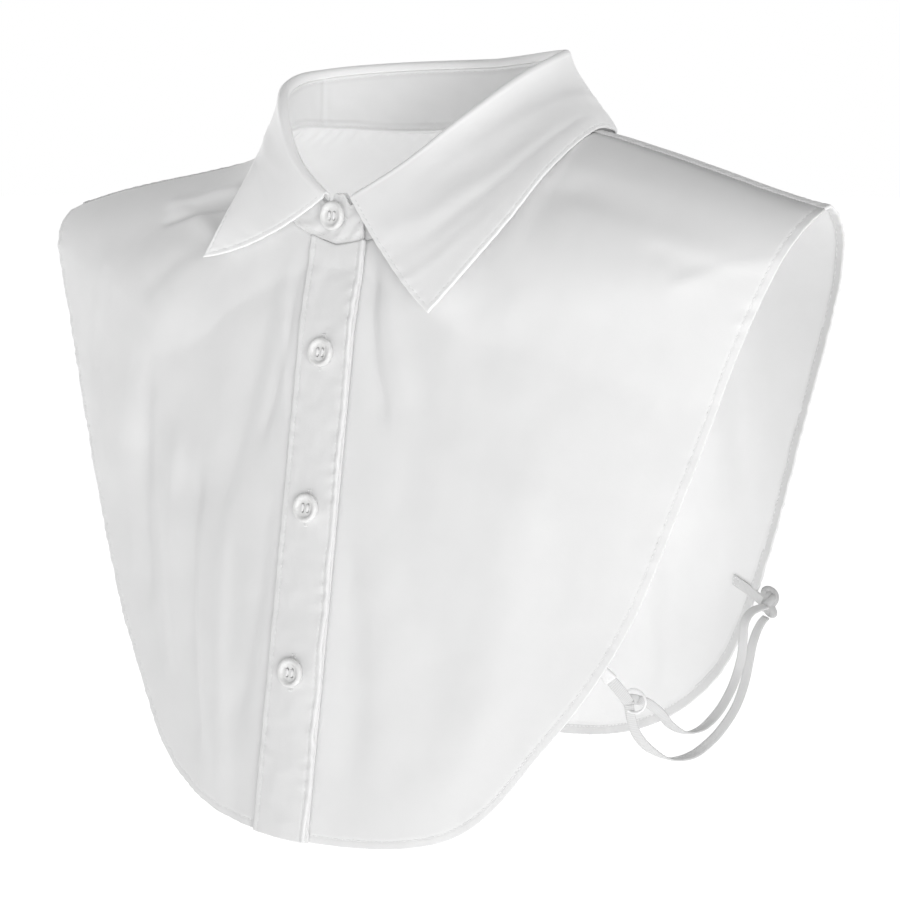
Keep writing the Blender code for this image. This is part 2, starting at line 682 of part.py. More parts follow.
def smooth_route(points, spacing):
    """Points at an even spacing on a smooth curve through the route's own points."""
    table = {"share": np.linspace(0.0, 1.0, len(points))}
    for number, axis in enumerate("xyz"):
        table[axis] = [point[number] for point in points]
    fine = np.linspace(0.0, 1.0, 12 * len(points))
    dense = np.array([[smooth_read(table, axis, share) for axis in "xyz"] for share in fine])
    steps = np.concatenate([[0.0], np.cumsum(np.linalg.norm(np.diff(dense, axis=0), axis=1))])
    count = round(steps[-1] / spacing) + 1
    even = np.linspace(0.0, steps[-1], count)
    return [[float(np.interp(place, steps, dense[:, axis])) for axis in range(3)] for place in even]


def make_elastic(name, route, mirror, material):
    curve = bpy.data.curves.new(name, "CURVE")
    curve.dimensions = "3D"
    curve.bevel_depth = ELASTIC_DIAMETER / 2
    curve.bevel_resolution = ELASTIC_RING
    curve.use_fill_caps = True
    points = smooth_route(route, ELASTIC_SPACING)
    spline = curve.splines.new("POLY")
    spline.points.add(len(points) - 1)
    for knot, point in zip(spline.points, points):
        knot.co = (point[0] * mirror, point[1], point[2], 1.0)
    curve.materials.append(material)
    item = bpy.data.objects.new(name, curve)
    bpy.context.scene.collection.objects.link(item)
    return item


def main():
    clear_scene()
    for mirror, name, layer in ((1, "front_left", -1.0), (-1, "front_right", 1.0)):
        cotton = make_material(name + "_cotton", COTTON, COTTON_ROUGHNESS)
        place, normal = front_place(mirror, layer), front_normal(mirror)
        wall_object(name, FRONT_COLUMNS, FRONT_ROWS, place, PANEL_WALL, cotton, normal)
    cotton = make_material("back_cotton", COTTON, COTTON_ROUGHNESS)
    wall_object("back", BACK_COLUMNS, BACK_ROWS, back_place, PANEL_WALL, cotton, back_normal)
    cotton = make_material("placket_cotton", COTTON, COTTON_ROUGHNESS)
    place, normal = placket_place, placket_normal
    wall_object("placket", BAND_COLUMNS, FRONT_ROWS, place, PLACKET_WALL, cotton, normal)
    cotton = make_material("collar_stand_cotton", COTTON, COTTON_ROUGHNESS)
    wall_object("collar_stand", STAND_COLUMNS, STAND_ROWS, stand_place, COLLAR_WALL, cotton)
    cotton = make_material("collar_fall_cotton", COTTON, COTTON_ROUGHNESS)
    wall_object("collar_fall", FALL_COLUMNS, FALL_ROWS, fall_place, COLLAR_WALL, cotton)

    for number, height in enumerate(BUTTON_DROPS, start=1):
        resin = make_material(f"button_{number}_resin", BUTTON_WHITE, BUTTON_ROUGHNESS)
        placket_button(number, height, resin)
    stand_button(make_material("button_stand_resin", BUTTON_WHITE, BUTTON_ROUGHNESS))

    for mirror, side in ((1, "left"), (-1, "right")):
        for piece, make in (("tab_front_", make_tab_front), ("tab_back_", make_tab_back)):
            tape = make_material(piece + side + "_tape", COTTON, COTTON_ROUGHNESS)
            make(piece + side, mirror, tape)
        elastic = make_material(f"knot_{side}_elastic", ELASTIC_WHITE, ELASTIC_ROUGHNESS)
        make_knot("knot_" + side, mirror, elastic)
        for strand, route in (("inner_", ELASTIC_INNER), ("outer_", ELASTIC_OUTER)):
            name = "elastic_" + strand + side
            elastic = make_material(name + "_elastic", ELASTIC_WHITE, ELASTIC_ROUGHNESS)
            make_elastic(name, route, mirror, elastic)


main()
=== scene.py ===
import math
import bmesh
import bpy
import numpy as np
from mathutils import Matrix, Vector
from mathutils.bvhtree import BVHTree


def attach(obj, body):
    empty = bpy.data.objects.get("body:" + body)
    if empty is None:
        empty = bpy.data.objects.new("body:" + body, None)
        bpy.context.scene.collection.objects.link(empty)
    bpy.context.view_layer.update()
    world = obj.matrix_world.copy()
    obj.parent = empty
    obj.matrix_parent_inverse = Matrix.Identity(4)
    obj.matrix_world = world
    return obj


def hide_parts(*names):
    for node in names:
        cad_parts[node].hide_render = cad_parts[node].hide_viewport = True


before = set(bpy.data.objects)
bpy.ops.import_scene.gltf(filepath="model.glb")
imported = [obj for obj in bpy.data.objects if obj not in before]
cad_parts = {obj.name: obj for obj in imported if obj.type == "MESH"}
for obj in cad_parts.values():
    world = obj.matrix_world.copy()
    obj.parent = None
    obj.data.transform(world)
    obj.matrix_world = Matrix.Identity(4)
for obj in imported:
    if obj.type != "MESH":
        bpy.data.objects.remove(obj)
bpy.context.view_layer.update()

# camera at the photo's angle, 0.77 m from the middle of the neck, on a 36 mm sensor
cameraSizes = {
    "azimuth": 35.0, "elevation": 8.58, "right": 0.0190, "up": -0.1420, "back": 0.767, "lens": 69.4,
}


def addObject(name, data):
    item = bpy.data.objects.new(name, data)
    bpy.context.scene.collection.objects.link(item)
    return item


def makeCamera(sizes):
    a, e = math.radians(sizes["azimuth"]), math.radians(sizes["elevation"])
    right = Vector((math.cos(a), math.sin(a), 0.0))
    back = Vector((math.sin(a) * math.cos(e), -math.cos(a) * math.cos(e), math.sin(e)))
    up = back.cross(right)
    data = bpy.data.cameras.new("camera")
    data.lens = sizes["lens"]
    data.clip_start = 0.01
    camera = addObject("camera", data)
    place = right * sizes["right"] + up * sizes["up"] + back * sizes["back"]
    turn = Matrix((right, up, back)).transposed().to_4x4()
    camera.matrix_world = Matrix.Translation(place) @ turn
    bpy.context.scene.camera = camera


makeCamera(cameraSizes)
print("camera placed")


# reading tables and small helpers

def smoothRead(table, column, place, key="share", flatStart=False):
    # value of a column at each place, on a smooth curve through the table's rows
    steps = np.asarray(table[key], float)
    values = np.asarray(table[column], float)
    widths = np.diff(steps)
    slopes = np.diff(values) / widths
    tangents = np.empty_like(values)
    tangents[1:-1] = (slopes[:-1] * widths[1:] + slopes[1:] * widths[:-1]) / (widths[1:] + widths[:-1])
    tangents[0] = 1.5 * slopes[0] - 0.5 * tangents[1]
    tangents[-1] = 1.5 * slopes[-1] - 0.5 * tangents[-2]
    if flatStart:
        tangents[0] = 0.0
    place = np.asarray(place, float)
    row = np.clip(np.searchsorted(steps, place, side="right") - 1, 0, len(steps) - 2)
    width = widths[row]
    t = (place - steps[row]) / width
    return (
        (2 * t**3 - 3 * t**2 + 1) * values[row]
        + (t**3 - 2 * t**2 + t) * width * tangents[row]
        + (3 * t**2 - 2 * t**3) * values[row + 1]
        + (t**3 - t**2) * width * tangents[row + 1]
    )


def fade(value, start, end):
    # 1 up to start, 0 from end on, smooth between them
    t = np.clip((value - start) / (end - start), 0.0, 1.0)
    return 1.0 - t * t * (3.0 - 2.0 * t)


def stack(x, y, z):
    x, y, z = np.broadcast_arrays(x, y, z)
    return np.stack([x, y, z], -1).astype(float)


def unit(v):
    return v / np.maximum(np.linalg.norm(v, axis=-1, keepdims=True), 1e-12)


def arcAlong(points, axis):
    # distance from the first point, along one way of a grid of points
    steps = np.linalg.norm(np.diff(points, axis=axis), axis=-1)
    first = np.zeros_like(np.take(steps, [0], axis=axis))
    return np.concatenate([first, np.cumsum(steps, axis=axis)], axis=axis)


def bothEnds(along):
    # distances from the first and from the last end of a grid
    return along, along[-1:, :] - along


def waves(s, length, seed):
    # uneven ripples of about one length, the same each run
    drift = 1.6 * np.sin(2 * np.pi * s / (length * 5.3) + seed)
    drift = drift + 0.9 * np.sin(2 * np.pi * s / (length * 13.0) + 2.1 * seed)
    size = 0.65 + 0.35 * np.sin(2 * np.pi * s / (length * 7.7) + 1.3 * seed)
    return size * np.sin(2 * np.pi * s / length + drift + 3.0 * seed)


def crumple(x, z, seed, length):
    # soft uneven swells in both directions
    total = 0.0
    for number in range(5):
        turn = seed * 1.7 + number * 2.399
        scale = length * (0.6 + 0.28 * number)
        along = x * math.cos(turn) + z * math.sin(turn)
        aside = z * math.cos(turn) - x * math.sin(turn)
        swing = 2.0 * np.sin(2 * np.pi * aside / (scale * 1.9) + turn)
        total = total + np.sin(2 * np.pi * along / scale + swing + turn) / 5
    return total


def bell(value, centre, width):
    # 1 at the centre, fading to both sides
    return np.exp(-(((value - centre) / width) ** 2))


def mirrored(points, mirror):
    return np.asarray(points) * np.array([mirror, 1.0, 1.0])


def fromLine(x, z, x1, z1, x2, z2):
    # share of the way along a line, distance aside of it, distance past its ends
    length = math.hypot(x2 - x1, z2 - z1)
    along = ((x - x1) * (x2 - x1) + (z - z1) * (z2 - z1)) / length
    aside = ((x - x1) * (z2 - z1) - (z - z1) * (x2 - x1)) / length
    return along / length, aside, np.maximum(np.maximum(-along, along - length), 0.0)


# form of the garment, from the same named values as the solids

form = {
    "halfShoulder": 0.200, "neckHalf": 0.064, "seamForward": 0.006,
    "layerShift": 0.0008, "layerFade": (0.020, 0.060),
    "ridgeSlope": 0.238, "ridgeStart": 0.060, "crown": 0.026, "crownEnd": 0.080, "ridgeBack": 0.0174,
    "leanStart": 0.086, "seamDraw": 6, "seamCalm": 0.15, "panelWall": 0.0012, "middleEase": 0.012,
    "swell": 0.00035, "swellLength": 0.060, "crumple": 0.00012, "crumpleLength": 0.021,
}
sideForm = {
    "front": {"reach": (0.0684, 0.0260), "bend": 2.33, "fall": (0.1220, 0.0227), "lean": 0.179},
    "back": {"reach": (0.0850, 0.0205), "bend": 2.06, "fall": (0.1000, 0.0340), "lean": 0.0},
}
shoulderRise = {
    "across": [0.0, 0.062, 0.090, 0.120, 0.150, 0.175, 0.200],
    "left": [0.0, 0.0, 0.0050, 0.0046, 0.0028, 0.0010, 0.0],
    "right": [0.0, 0.0, -0.0048, -0.0038, -0.0014, 0.0, 0.0],
}
frontHem = {
    "share": [0.0, 0.17, 0.33, 0.50, 0.67, 0.83, 1.0],
    "left": [0.0, 0.0750, 0.1125, 0.1415, 0.1625, 0.1810, 0.2000],
    "right": [0.0, 0.0765, 0.1160, 0.1440, 0.1672, 0.1868, 0.2000],
    "height": [-0.2985, -0.2885, -0.2465, -0.1980, -0.1380, -0.0800, -0.0333],
}
backHem = {
    "share": [0.0, 0.17, 0.33, 0.50, 0.67, 0.83, 1.0],
    "across": [0.0, 0.0700, 0.1215, 0.1505, 0.1755, 0.1960, 0.2000],
    "height": [-0.3000, -0.2860, -0.2490, -0.1965, -0.1240, -0.0620, -0.0333],
}
neckSeam = {
    "angle": [0.0, 30.0, 60.0, 90.0, 120.0, 150.0, 180.0],
    "turn": [-0.775, -0.687, -0.384, 0.0, 0.247, 0.415, 0.458],
}
softFolds = {
    "side": ["front", "front", "front", "front", "front", "front", "back", "back", "back"],
    "x1": [0.098, -0.100, -0.075, -0.118, 0.055, -0.090, -0.120, 0.120, 0.030],
    "z1": [-0.028, -0.034, -0.180, -0.150, -0.085, -0.060, -0.040, -0.040, -0.060],
    "x2": [0.178, -0.165, -0.040, -0.092, 0.120, -0.140, -0.080, 0.085, 0.045],
    "z2": [-0.046, -0.052, -0.285, -0.235, -0.200, -0.150, -0.180, -0.170, -0.230],
    "width": [0.012, 0.013, 0.016, 0.014, 0.020, 0.018, 0.018, 0.018, 0.020],
    "out": [-0.0030, -0.0022, 0.0022, -0.0020, -0.0018, 0.0020, 0.0025, -0.0025, 0.0022],
}


def ridgeHeight(across):
    size = np.abs(across)
    crown = np.maximum(1.0 - (size / form["crownEnd"]) ** 2, 0.0) ** 2 * form["crown"]
    left = smoothRead(shoulderRise, "left", size, "across")
    right = smoothRead(shoulderRise, "right", size, "across")
    rise = np.where(np.asarray(across) >= 0, left, right)
    return crown + rise - form["ridgeSlope"] * np.maximum(size - form["ridgeStart"], 0.0)


def easedSize(across):
    # distance from the middle plane, rounded off near it so that no keel shows
    size = np.abs(across)
    return size + form["middleEase"] * np.exp(-size / form["middleEase"])


def sideSizes(across, side):
    sizes = sideForm[side]
    share = easedSize(across) / form["halfShoulder"]
    reach = sizes["reach"][0] + (sizes["reach"][1] - sizes["reach"][0]) * share ** sizes["bend"]
    fall = sizes["fall"][0] + (sizes["fall"][1] - sizes["fall"][0]) * share
    return reach, fall, sizes["lean"] * (1.0 - share)


def clothPoint(across, turn):
    # turn is 0 on the shoulder ridge, -1 or 1 where the cloth hangs at the front or back
    depth = form["ridgeBack"] * (1.0 - easedSize(across) / form["halfShoulder"])
    heights, outs = [], []
    for side in ("front", "back"):
        reach, fall, lean = sideSizes(across, side)
        angle = np.minimum(np.abs(turn), 1.0) * np.pi / 2
        drop = fall * (1.0 - np.cos(angle)) + np.maximum(np.abs(turn) - 1.0, 0.0) * fall * np.pi / 2
        outs.append(reach * np.sin(angle) + lean * np.maximum(drop - form["leanStart"], 0.0))
        heights.append(ridgeHeight(across) - drop)
    isFront = np.asarray(turn) < 0
    return stack(across, depth + np.where(isFront, -outs[0], outs[1]), np.where(isFront, *heights))


def turnAtHeight(across, height, side):
    _, fall, _ = sideSizes(across, side)
    drop = np.maximum(ridgeHeight(across) - height, 0.0)
    curved = np.arccos(np.clip(1.0 - drop / fall, -1.0, 1.0)) / (np.pi / 2)
    turn = np.where(drop <= fall, curved, 1.0 + (drop - fall) / (fall * np.pi / 2))
    return -turn if side == "front" else turn


def clothNormal(across, turn):
    step = 0.002
    along = clothPoint(across + step, turn) - clothPoint(across - step, turn)
    over = clothPoint(across, turn + step) - clothPoint(across, turn - step)
    return unit(np.cross(along, over))


def lineHeight(x, z, x1, z1, x2, z2, width, out, bend=0.0, edge=0.0):
    # one fold or crease: a soft ridge or trough along a line that may bend, steeper on one side
    share, aside, past = fromLine(x, z, x1, z1, x2, z2)
    t = np.clip(share, 0.0, 1.0)
    aside = aside - bend * 4 * t * (1 - t)
    wide = width * (1.0 + edge * np.sign(aside))
    return out * np.exp(-(aside / wide) ** 2 - (past / (width * 2)) ** 2)


def foldHeight(x, z, side):
    total = np.zeros_like(x)
    for row, name in enumerate(softFolds["side"]):
        if name == side:
            _, aside, past = fromLine(x, z, *[softFolds[key][row] for key in ("x1", "z1", "x2", "z2")])
            total += softFolds["out"][row] * np.exp(-(aside**2 + past**2) / softFolds["width"][row] ** 2)
    return total * (1.0 - fade(np.abs(x), 0.013, 0.052))


# main creases: across and height of both ends, width, how far out, bend, one side steeper
frontCreases = [
    (0.020, -0.066, 0.030, -0.112, 0.0050, -0.0013, 0.002, 0.3),
    (0.028, -0.062, 0.040, -0.105, 0.0060, 0.0010, 0.002, 0.0),
    (0.022, -0.190, 0.030, -0.262, 0.0090, -0.0013, -0.003, 0.2),
    (0.060, -0.075, 0.095, -0.150, 0.0120, 0.0014, 0.008, 0.2),
    (0.100, -0.060, 0.150, -0.110, 0.0090, -0.0010, 0.004, 0.2),
    (0.045, -0.130, 0.062, -0.215, 0.0120, -0.0010, 0.004, -0.2),
    (0.095, -0.165, 0.070, -0.270, 0.0130, 0.0012, -0.006, 0.1),
    (0.150, -0.050, 0.182, -0.058, 0.0040, -0.0011, 0.001, 0.3),
    (0.160, -0.060, 0.188, -0.052, 0.0030, 0.0008, -0.001, 0.2),
    (0.112, -0.0235, 0.196, -0.0400, 0.0050, -0.0020, 0.001, 0.3),
    (0.108, -0.0330, 0.190, -0.0530, 0.0070, 0.0016, 0.001, 0.2),
    (-0.054, -0.0270, -0.114, -0.0330, 0.0024, 0.0026, 0.001, 0.3),
    (-0.052, -0.0320, -0.110, -0.0405, 0.0027, -0.0024, 0.001, 0.3),
    (-0.108, -0.0350, -0.076, -0.0450, 0.0045, 0.0020, -0.001, 0.3),
    (-0.066, -0.046, -0.108, -0.070, 0.0055, -0.0009, 0.003, 0.1),
    (-0.036, -0.075, -0.052, -0.150, 0.0090, -0.0014, -0.004, 0.2),
    (-0.020, -0.068, -0.030, -0.128, 0.0040, -0.0010, -0.002, 0.3),
    (-0.024, -0.085, -0.018, -0.120, 0.0030, 0.0008, 0.001, 0.2),
    (-0.072, -0.165, -0.060, -0.262, 0.0070, -0.0020, 0.004, 0.3),
    (-0.090, -0.150, -0.084, -0.235, 0.0075, 0.0019, 0.004, 0.1),
    (-0.112, -0.120, -0.110, -0.205, 0.0080, -0.0018, 0.004, 0.2),
    (-0.050, -0.185, -0.040, -0.272, 0.0070, 0.0017, 0.002, 0.2),
    (-0.024, -0.170, -0.030, -0.245, 0.0050, -0.0009, -0.002, 0.2),
    (-0.150, -0.060, -0.160, -0.125, 0.0080, 0.0010, 0.003, 0.2),
]
backCreases = [
    (0.065, -0.030, 0.132, -0.052, 0.0050, 0.0012, 0.004, 0.3),
    (0.070, -0.045, 0.110, -0.078, 0.0060, -0.0011, 0.003, 0.2),
    (-0.064, -0.032, -0.128, -0.050, 0.0050, 0.0011, -0.004, 0.3),
    (-0.058, -0.050, -0.100, -0.090, 0.0060, -0.0012, -0.004, 0.2),
    (0.040, -0.090, 0.062, -0.190, 0.0110, -0.0013, 0.005, 0.2),
    (-0.010, -0.070, -0.022, -0.170, 0.0120, 0.0011, -0.004, 0.1),
    (-0.055, -0.120, -0.072, -0.230, 0.0110, -0.0013, -0.005, 0.2),
    (0.090, -0.140, 0.080, -0.250, 0.0090, 0.0013, 0.005, 0.2),
    (0.012, -0.190, 0.020, -0.280, 0.0080, -0.0010, 0.003, 0.2),
    (-0.105, -0.110, -0.118, -0.190, 0.0080, 0.0011, -0.003, 0.2),
    (0.130, -0.080, 0.140, -0.150, 0.0080, -0.0010, 0.003, 0.2),
]


def panelRelief(x, z, side):
    isFront = side == "front"
    total = form["swell"] * crumple(x, z, 1.0 if isFront else 4.0, form["swellLength"])
    total = total + form["crumple"] * crumple(x, z, 2.0 if isFront else 5.0, form["crumpleLength"])
    for crease in frontCreases if isFront else backCreases:
        total = total + lineHeight(x, z, *crease)
    if isFront:
        total = total * (1.0 - 0.75 * fade(np.abs(x), 0.012, 0.024))  # flat under the placket
    return foldHeight(x, z, side) + total


# making a cloth shell

def closeSpaced(count, length, ends, start=False):
    # shares from 0 to 1 with extra rows at given distances from the end, and from the start too
    tail = 1.0 - np.asarray(sorted(ends, reverse=True)) / length
    head = np.asarray(sorted(ends)) / length if start else np.array([0.0])
    middle = np.linspace(head[-1], tail[0], count)
    return np.concatenate([head[:-1], middle, tail[1:]])


# rows near an edge, closest at its round and about its stitches
edgeSteps = [
    0.0, 0.00008, 0.00025, 0.0005, 0.0008, 0.0012, 0.0016, 0.0021, 0.0026,
    0.0030, 0.0034, 0.0038, 0.0042, 0.0047, 0.0054, 0.0064, 0.0078,
]
hairline = 0.00003  # half the thickness left at a rim, so that it doesn't close to nothing


def gridNormals(points):
    return unit(np.cross(np.gradient(points, axis=0), np.gradient(points, axis=1)))


def outwardNormals(middle, across, turn):
    normals = gridNormals(middle)
    return normals * np.sign(np.sum(normals * clothNormal(across, turn), axis=-1, keepdims=True))


def roundEdge(distance, radius):
    # 0 at an edge, 1 from radius on, round between them
    t = np.clip(distance / radius, 0.0, 1.0)
    return np.sqrt(np.maximum(1.0 - (1.0 - t) ** 2, 0.0))


def makeShell(name, middle, normals, outer, inner, material, uvSpin=0.0, doubled=None):
    # closed cloth shell: a grid drawn out into two faces at their own distances from the middle
    columns, rows = middle.shape[0] - 1, middle.shape[1] - 1
    builder = bmesh.new()
    bmesh.ops.create_grid(builder, x_segments=columns, y_segments=rows, size=1.0)
    single = len(builder.verts)
    bmesh.ops.extrude_face_region(builder, geom=builder.faces[:], use_keep_orig=True)
    mesh = bpy.data.meshes.new(name)
    builder.to_mesh(mesh)
    builder.free()
    flat = np.empty(len(mesh.vertices) * 3)
    mesh.vertices.foreach_get("co", flat)
    flat = flat.reshape(-1, 3)
    column = np.rint((flat[:, 0] + 1.0) / 2.0 * columns).astype(int)
    row = np.rint((flat[:, 1] + 1.0) / 2.0 * rows).astype(int)
    isOuter = np.arange(len(flat)) >= single
    away = np.where(isOuter, outer[column, row], -inner[column, row])
    places = middle[column, row] + normals[column, row] * away[:, None]
    mesh.vertices.foreach_set("co", places.ravel())
    corners = np.empty(len(mesh.loops), int)
    mesh.loops.foreach_get("vertex_index", corners)
    across, down = (arcAlong(middle, axis)[column, row][corners] for axis in (0, 1))
    sine, cosine = math.sin(math.radians(uvSpin)), math.cos(math.radians(uvSpin))
    uv = np.stack([across * cosine - down * sine, across * sine + down * cosine], 1)
    mesh.uv_layers.new(name="cloth").data.foreach_set("uv", uv.ravel())
    builder = bmesh.new()
    builder.from_mesh(mesh)
    bmesh.ops.recalc_face_normals(builder, faces=builder.faces)
    if builder.calc_volume(signed=True) < 0:
        bmesh.ops.reverse_faces(builder, faces=builder.faces)
    builder.to_mesh(mesh)
    builder.free()
    mesh.materials.append(material)
    if doubled is not None:  # inner faces of a turned hem get painted shade: a darker cloth colour standing in for less light coming through the doubled cloth
        mesh.materials.append(poplinTurnedPaintedShade)
        mesh.loops.foreach_get("vertex_index", corners)
        faces = corners.reshape(-1, 4)
        isPaintedShadeHem = (faces < single).all(axis=1) & doubled[column[faces], row[faces]].all(axis=1)
        mesh.polygons.foreach_set("material_index", isPaintedShadeHem.astype(int))
    mesh.shade_smooth()
    mesh.update()
    return addObject(name, mesh)


def lineAt(values, distances, wanted, axis):
    # values at one distance from an edge, for each row or column of a grid
    moved = np.moveaxis(values, axis, 0)
    gaps = np.moveaxis(distances, axis, 0)
    result = np.empty(moved.shape[1:])
    for place in range(moved.shape[1]):
        order = np.argsort(gaps[:, place])
        for part in range(3):
            result[place, part] = np.interp(wanted, gaps[order, place], moved[order, place, part])
    return result


def readLine(places, total, values):
    return np.stack([np.interp(places, total, values[:, part]) for part in range(3)], 1)


def evenLine(points, normals, spacing, skip=0.0):
    total = arcAlong(points, 0)
    count = max(int((total[-1] - 2 * skip) / spacing), 1)
    places = skip + (np.arange(count) + 0.5) * (total[-1] - 2 * skip) / count
    ahead, behind = (readLine(places + step, total, points) for step in (spacing / 4, -spacing / 4))
    return readLine(places, total, points), unit(ahead - behind), unit(readLine(places, total, normals))


stitchSizes = {
    "pitch": 0.0026, "length": 0.0021, "width": 0.00042, "height": 0.00030, "sink": 0.00002,
    "groove": 0.00016, "collarGroove": 0.00014,  # how deep the cloth is drawn in along them
}


def addStitches(builder, points, normals, sizes=stitchSizes, skip=0.001):
    for place, way, up in zip(*evenLine(points, normals, sizes["pitch"], skip)):
        way = Vector(way).normalized()
        side = Vector(up).cross(way).normalized()
        up = way.cross(side)
        axes = (way * sizes["length"] / 2, side * sizes["width"] / 2, up * sizes["height"] / 2)
        spot = Matrix.Translation(Vector(place) - up * sizes["sink"]) @ Matrix(axes).transposed().to_4x4()
        bmesh.ops.create_icosphere(builder, subdivisions=1, radius=1.0, matrix=spot)


def sewLine(builder, face, normals, distance, inset, axis, skip=0.001, part=slice(None)):
    # stitches on a face at one distance from an edge
    line, up = (lineAt(values, distance, inset, axis)[part] for values in (face, normals))
    addStitches(builder, line, up, skip=skip)


def finishMesh(builder, name, material, smooth=True):
    mesh = bpy.data.meshes.new(name)
    builder.to_mesh(mesh)
    builder.free()
    mesh.materials.append(material)
    if smooth:
        mesh.shade_smooth()
    return addObject(name, mesh)


def settle(piece, node):
    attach(piece, "root")
    if node:
        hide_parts(node)


# materials

def grey(level):
    return (level, level, level)


clothLook = {
    "colour": grey(0.80), "dip": grey(0.785), "roughness": 0.88,
    "sheen": 0.25, "thread": 0.00042, "weave": 0.10, "soft": 0.10,
}


def setInputs(node, values):
    for socket, value in values.items():
        node.inputs[socket].default_value = value


def nodeMaterial(name, values):
    material = bpy.data.materials.new(name)
    material.use_nodes = True
    nodes = material.node_tree.nodes
    setInputs(nodes["Principled BSDF"], values)
    return material, nodes, material.node_tree.links.new, nodes["Principled BSDF"].inputs


def addNode(nodes, kind, **values):
    node = nodes.new("ShaderNode" + kind)
    setInputs(node, values)
    return node


def addRamp(nodes, low, high, start=0.0, end=1.0):
    ramp = addNode(nodes, "ValToRGB")
    for stop, place, shade in zip(ramp.color_ramp.elements, (start, end), (low, high)):
        stop.position = place
        stop.color = (*shade, 1.0)
    return ramp


def addBump(nodes, link, height, strength, distance, below=None):
    bump = addNode(nodes, "Bump", Strength=strength, Distance=distance)
    link(height, bump.inputs["Height"])
    if below:
        link(below, bump.inputs["Normal"])
    return bump.outputs["Normal"]


def poplin(name, look=clothLook):
    material, nodes, link, shader = nodeMaterial(name, {
        "Roughness": look["roughness"], "Sheen Weight": look["sheen"],
        "Sheen Roughness": 0.6, "Specular IOR Level": 0.25,
    })
    cloth = addNode(nodes, "UVMap")
    cloth.uv_map = "cloth"
    weave = addNode(nodes, "Math")
    weave.operation = "ADD"
    for socket, way, spread in ((0, "X", 3.2), (1, "Y", 4.2)):
        thread = addNode(nodes, "TexWave", Scale=1.0 / look["thread"] / spread, Distortion=0.6, Detail=1.0)
        thread.bands_direction = way
        link(cloth.outputs["UV"], thread.inputs["Vector"])
        link(thread.outputs["Fac"], weave.inputs[socket])
    place = addNode(nodes, "TexCoord").outputs["Object"]
    slub = addNode(nodes, "TexNoise", Scale=420.0, Detail=3.0)
    swell = addNode(nodes, "TexNoise", Scale=55.0, Detail=3.0, Roughness=0.45)
    tone = addRamp(nodes, look["dip"], look["colour"], 0.30, 0.62)
    link(place, slub.inputs["Vector"])
    link(place, swell.inputs["Vector"])
    link(swell.outputs["Fac"], tone.inputs["Fac"])
    link(tone.outputs["Color"], shader["Base Color"])
    soft = addBump(nodes, link, swell.outputs["Fac"], look["soft"], 0.0012)
    grain = addBump(nodes, link, slub.outputs["Fac"], look["weave"], 0.0002, soft)
    fine = addBump(nodes, link, weave.outputs["Value"], look["weave"], 0.00015, grain)
    link(fine, shader["Normal"])
    return material


def threadMaterial(name, level, roughness, scale=2200.0):
    material, nodes, link, shader = nodeMaterial(name, {"Roughness": roughness, "Sheen Weight": 0.3})
    grain = addNode(nodes, "TexNoise", Scale=scale)
    tone = addRamp(nodes, grey(level * 0.94), grey(level))
    link(addNode(nodes, "TexCoord").outputs["Object"], grain.inputs["Vector"])
    link(grain.outputs["Fac"], tone.inputs["Fac"])
    link(tone.outputs["Color"], shader["Base Color"])
    link(addBump(nodes, link, grain.outputs["Fac"], 0.2, 0.0001), shader["Normal"])
    return material


def resinMaterial(name):
    material, nodes, link, shader = nodeMaterial(name, {"Coat Weight": 0.15, "Coat Roughness": 0.3})
    cloud = addNode(nodes, "TexNoise", Scale=260.0, Detail=2.0, Distortion=1.5)
    tone = addRamp(nodes, (0.74, 0.74, 0.735), (0.82, 0.82, 0.815), 0.35, 0.65)
    rough = addNode(nodes, "MapRange")
    setInputs(rough, {"To Min": 0.40, "To Max": 0.52})
    link(addNode(nodes, "TexCoord").outputs["Object"], cloud.inputs["Vector"])
    link(cloud.outputs["Fac"], tone.inputs["Fac"])
    link(cloud.outputs["Fac"], rough.inputs["Value"])
    link(tone.outputs["Color"], shader["Base Color"])
    link(rough.outputs["Result"], shader["Roughness"])
    return material


def elasticMaterial(name):
    # fine ribs across its length, on the piece's own map
    material, nodes, link, shader = nodeMaterial(name, {"Roughness": 0.72, "Sheen Weight": 0.2})
    cloth = addNode(nodes, "UVMap")
    cloth.uv_map = "cloth"
    ribs = addNode(nodes, "TexWave", Scale=340.0, Distortion=0.4)
    tone = addRamp(nodes, grey(0.57), grey(0.65))
    link(cloth.outputs["UV"], ribs.inputs["Vector"])
    link(ribs.outputs["Fac"], tone.inputs["Fac"])
    link(tone.outputs["Color"], shader["Base Color"])
    link(addBump(nodes, link, ribs.outputs["Fac"], 0.35, 0.0002), shader["Normal"])
    return material


poplinWhite = poplin("poplinWhite")
# collar cloth whiter than the panels: partly real, since doubled cloth reflects more, and partly painted
# light that brightens the fall
poplinCollarPaintedLight = poplin("poplinCollarPaintedLight", {**clothLook, "colour": grey(0.91), "dip": grey(0.895)})
# painted shade: a darker copy of the poplin for the turned hem's inner faces, standing in for less light
# coming through doubled cloth
poplinTurnedPaintedShade = poplin("poplinTurnedPaintedShade", {**clothLook, "colour": grey(0.66), "dip": grey(0.63)})
threadWhite = threadMaterial("threadWhite", 0.84, 0.6)
resinWhite = resinMaterial("resinWhite")
elasticWhite = elasticMaterial("elasticWhite")
tapeWhite = poplin("tapeWhite", {**clothLook, "thread": 0.0006, "weave": 0.2, "soft": 0.1})
print("materials made")


# elastic at the sides: two flat strands each side, from the knot at the back to the front tab

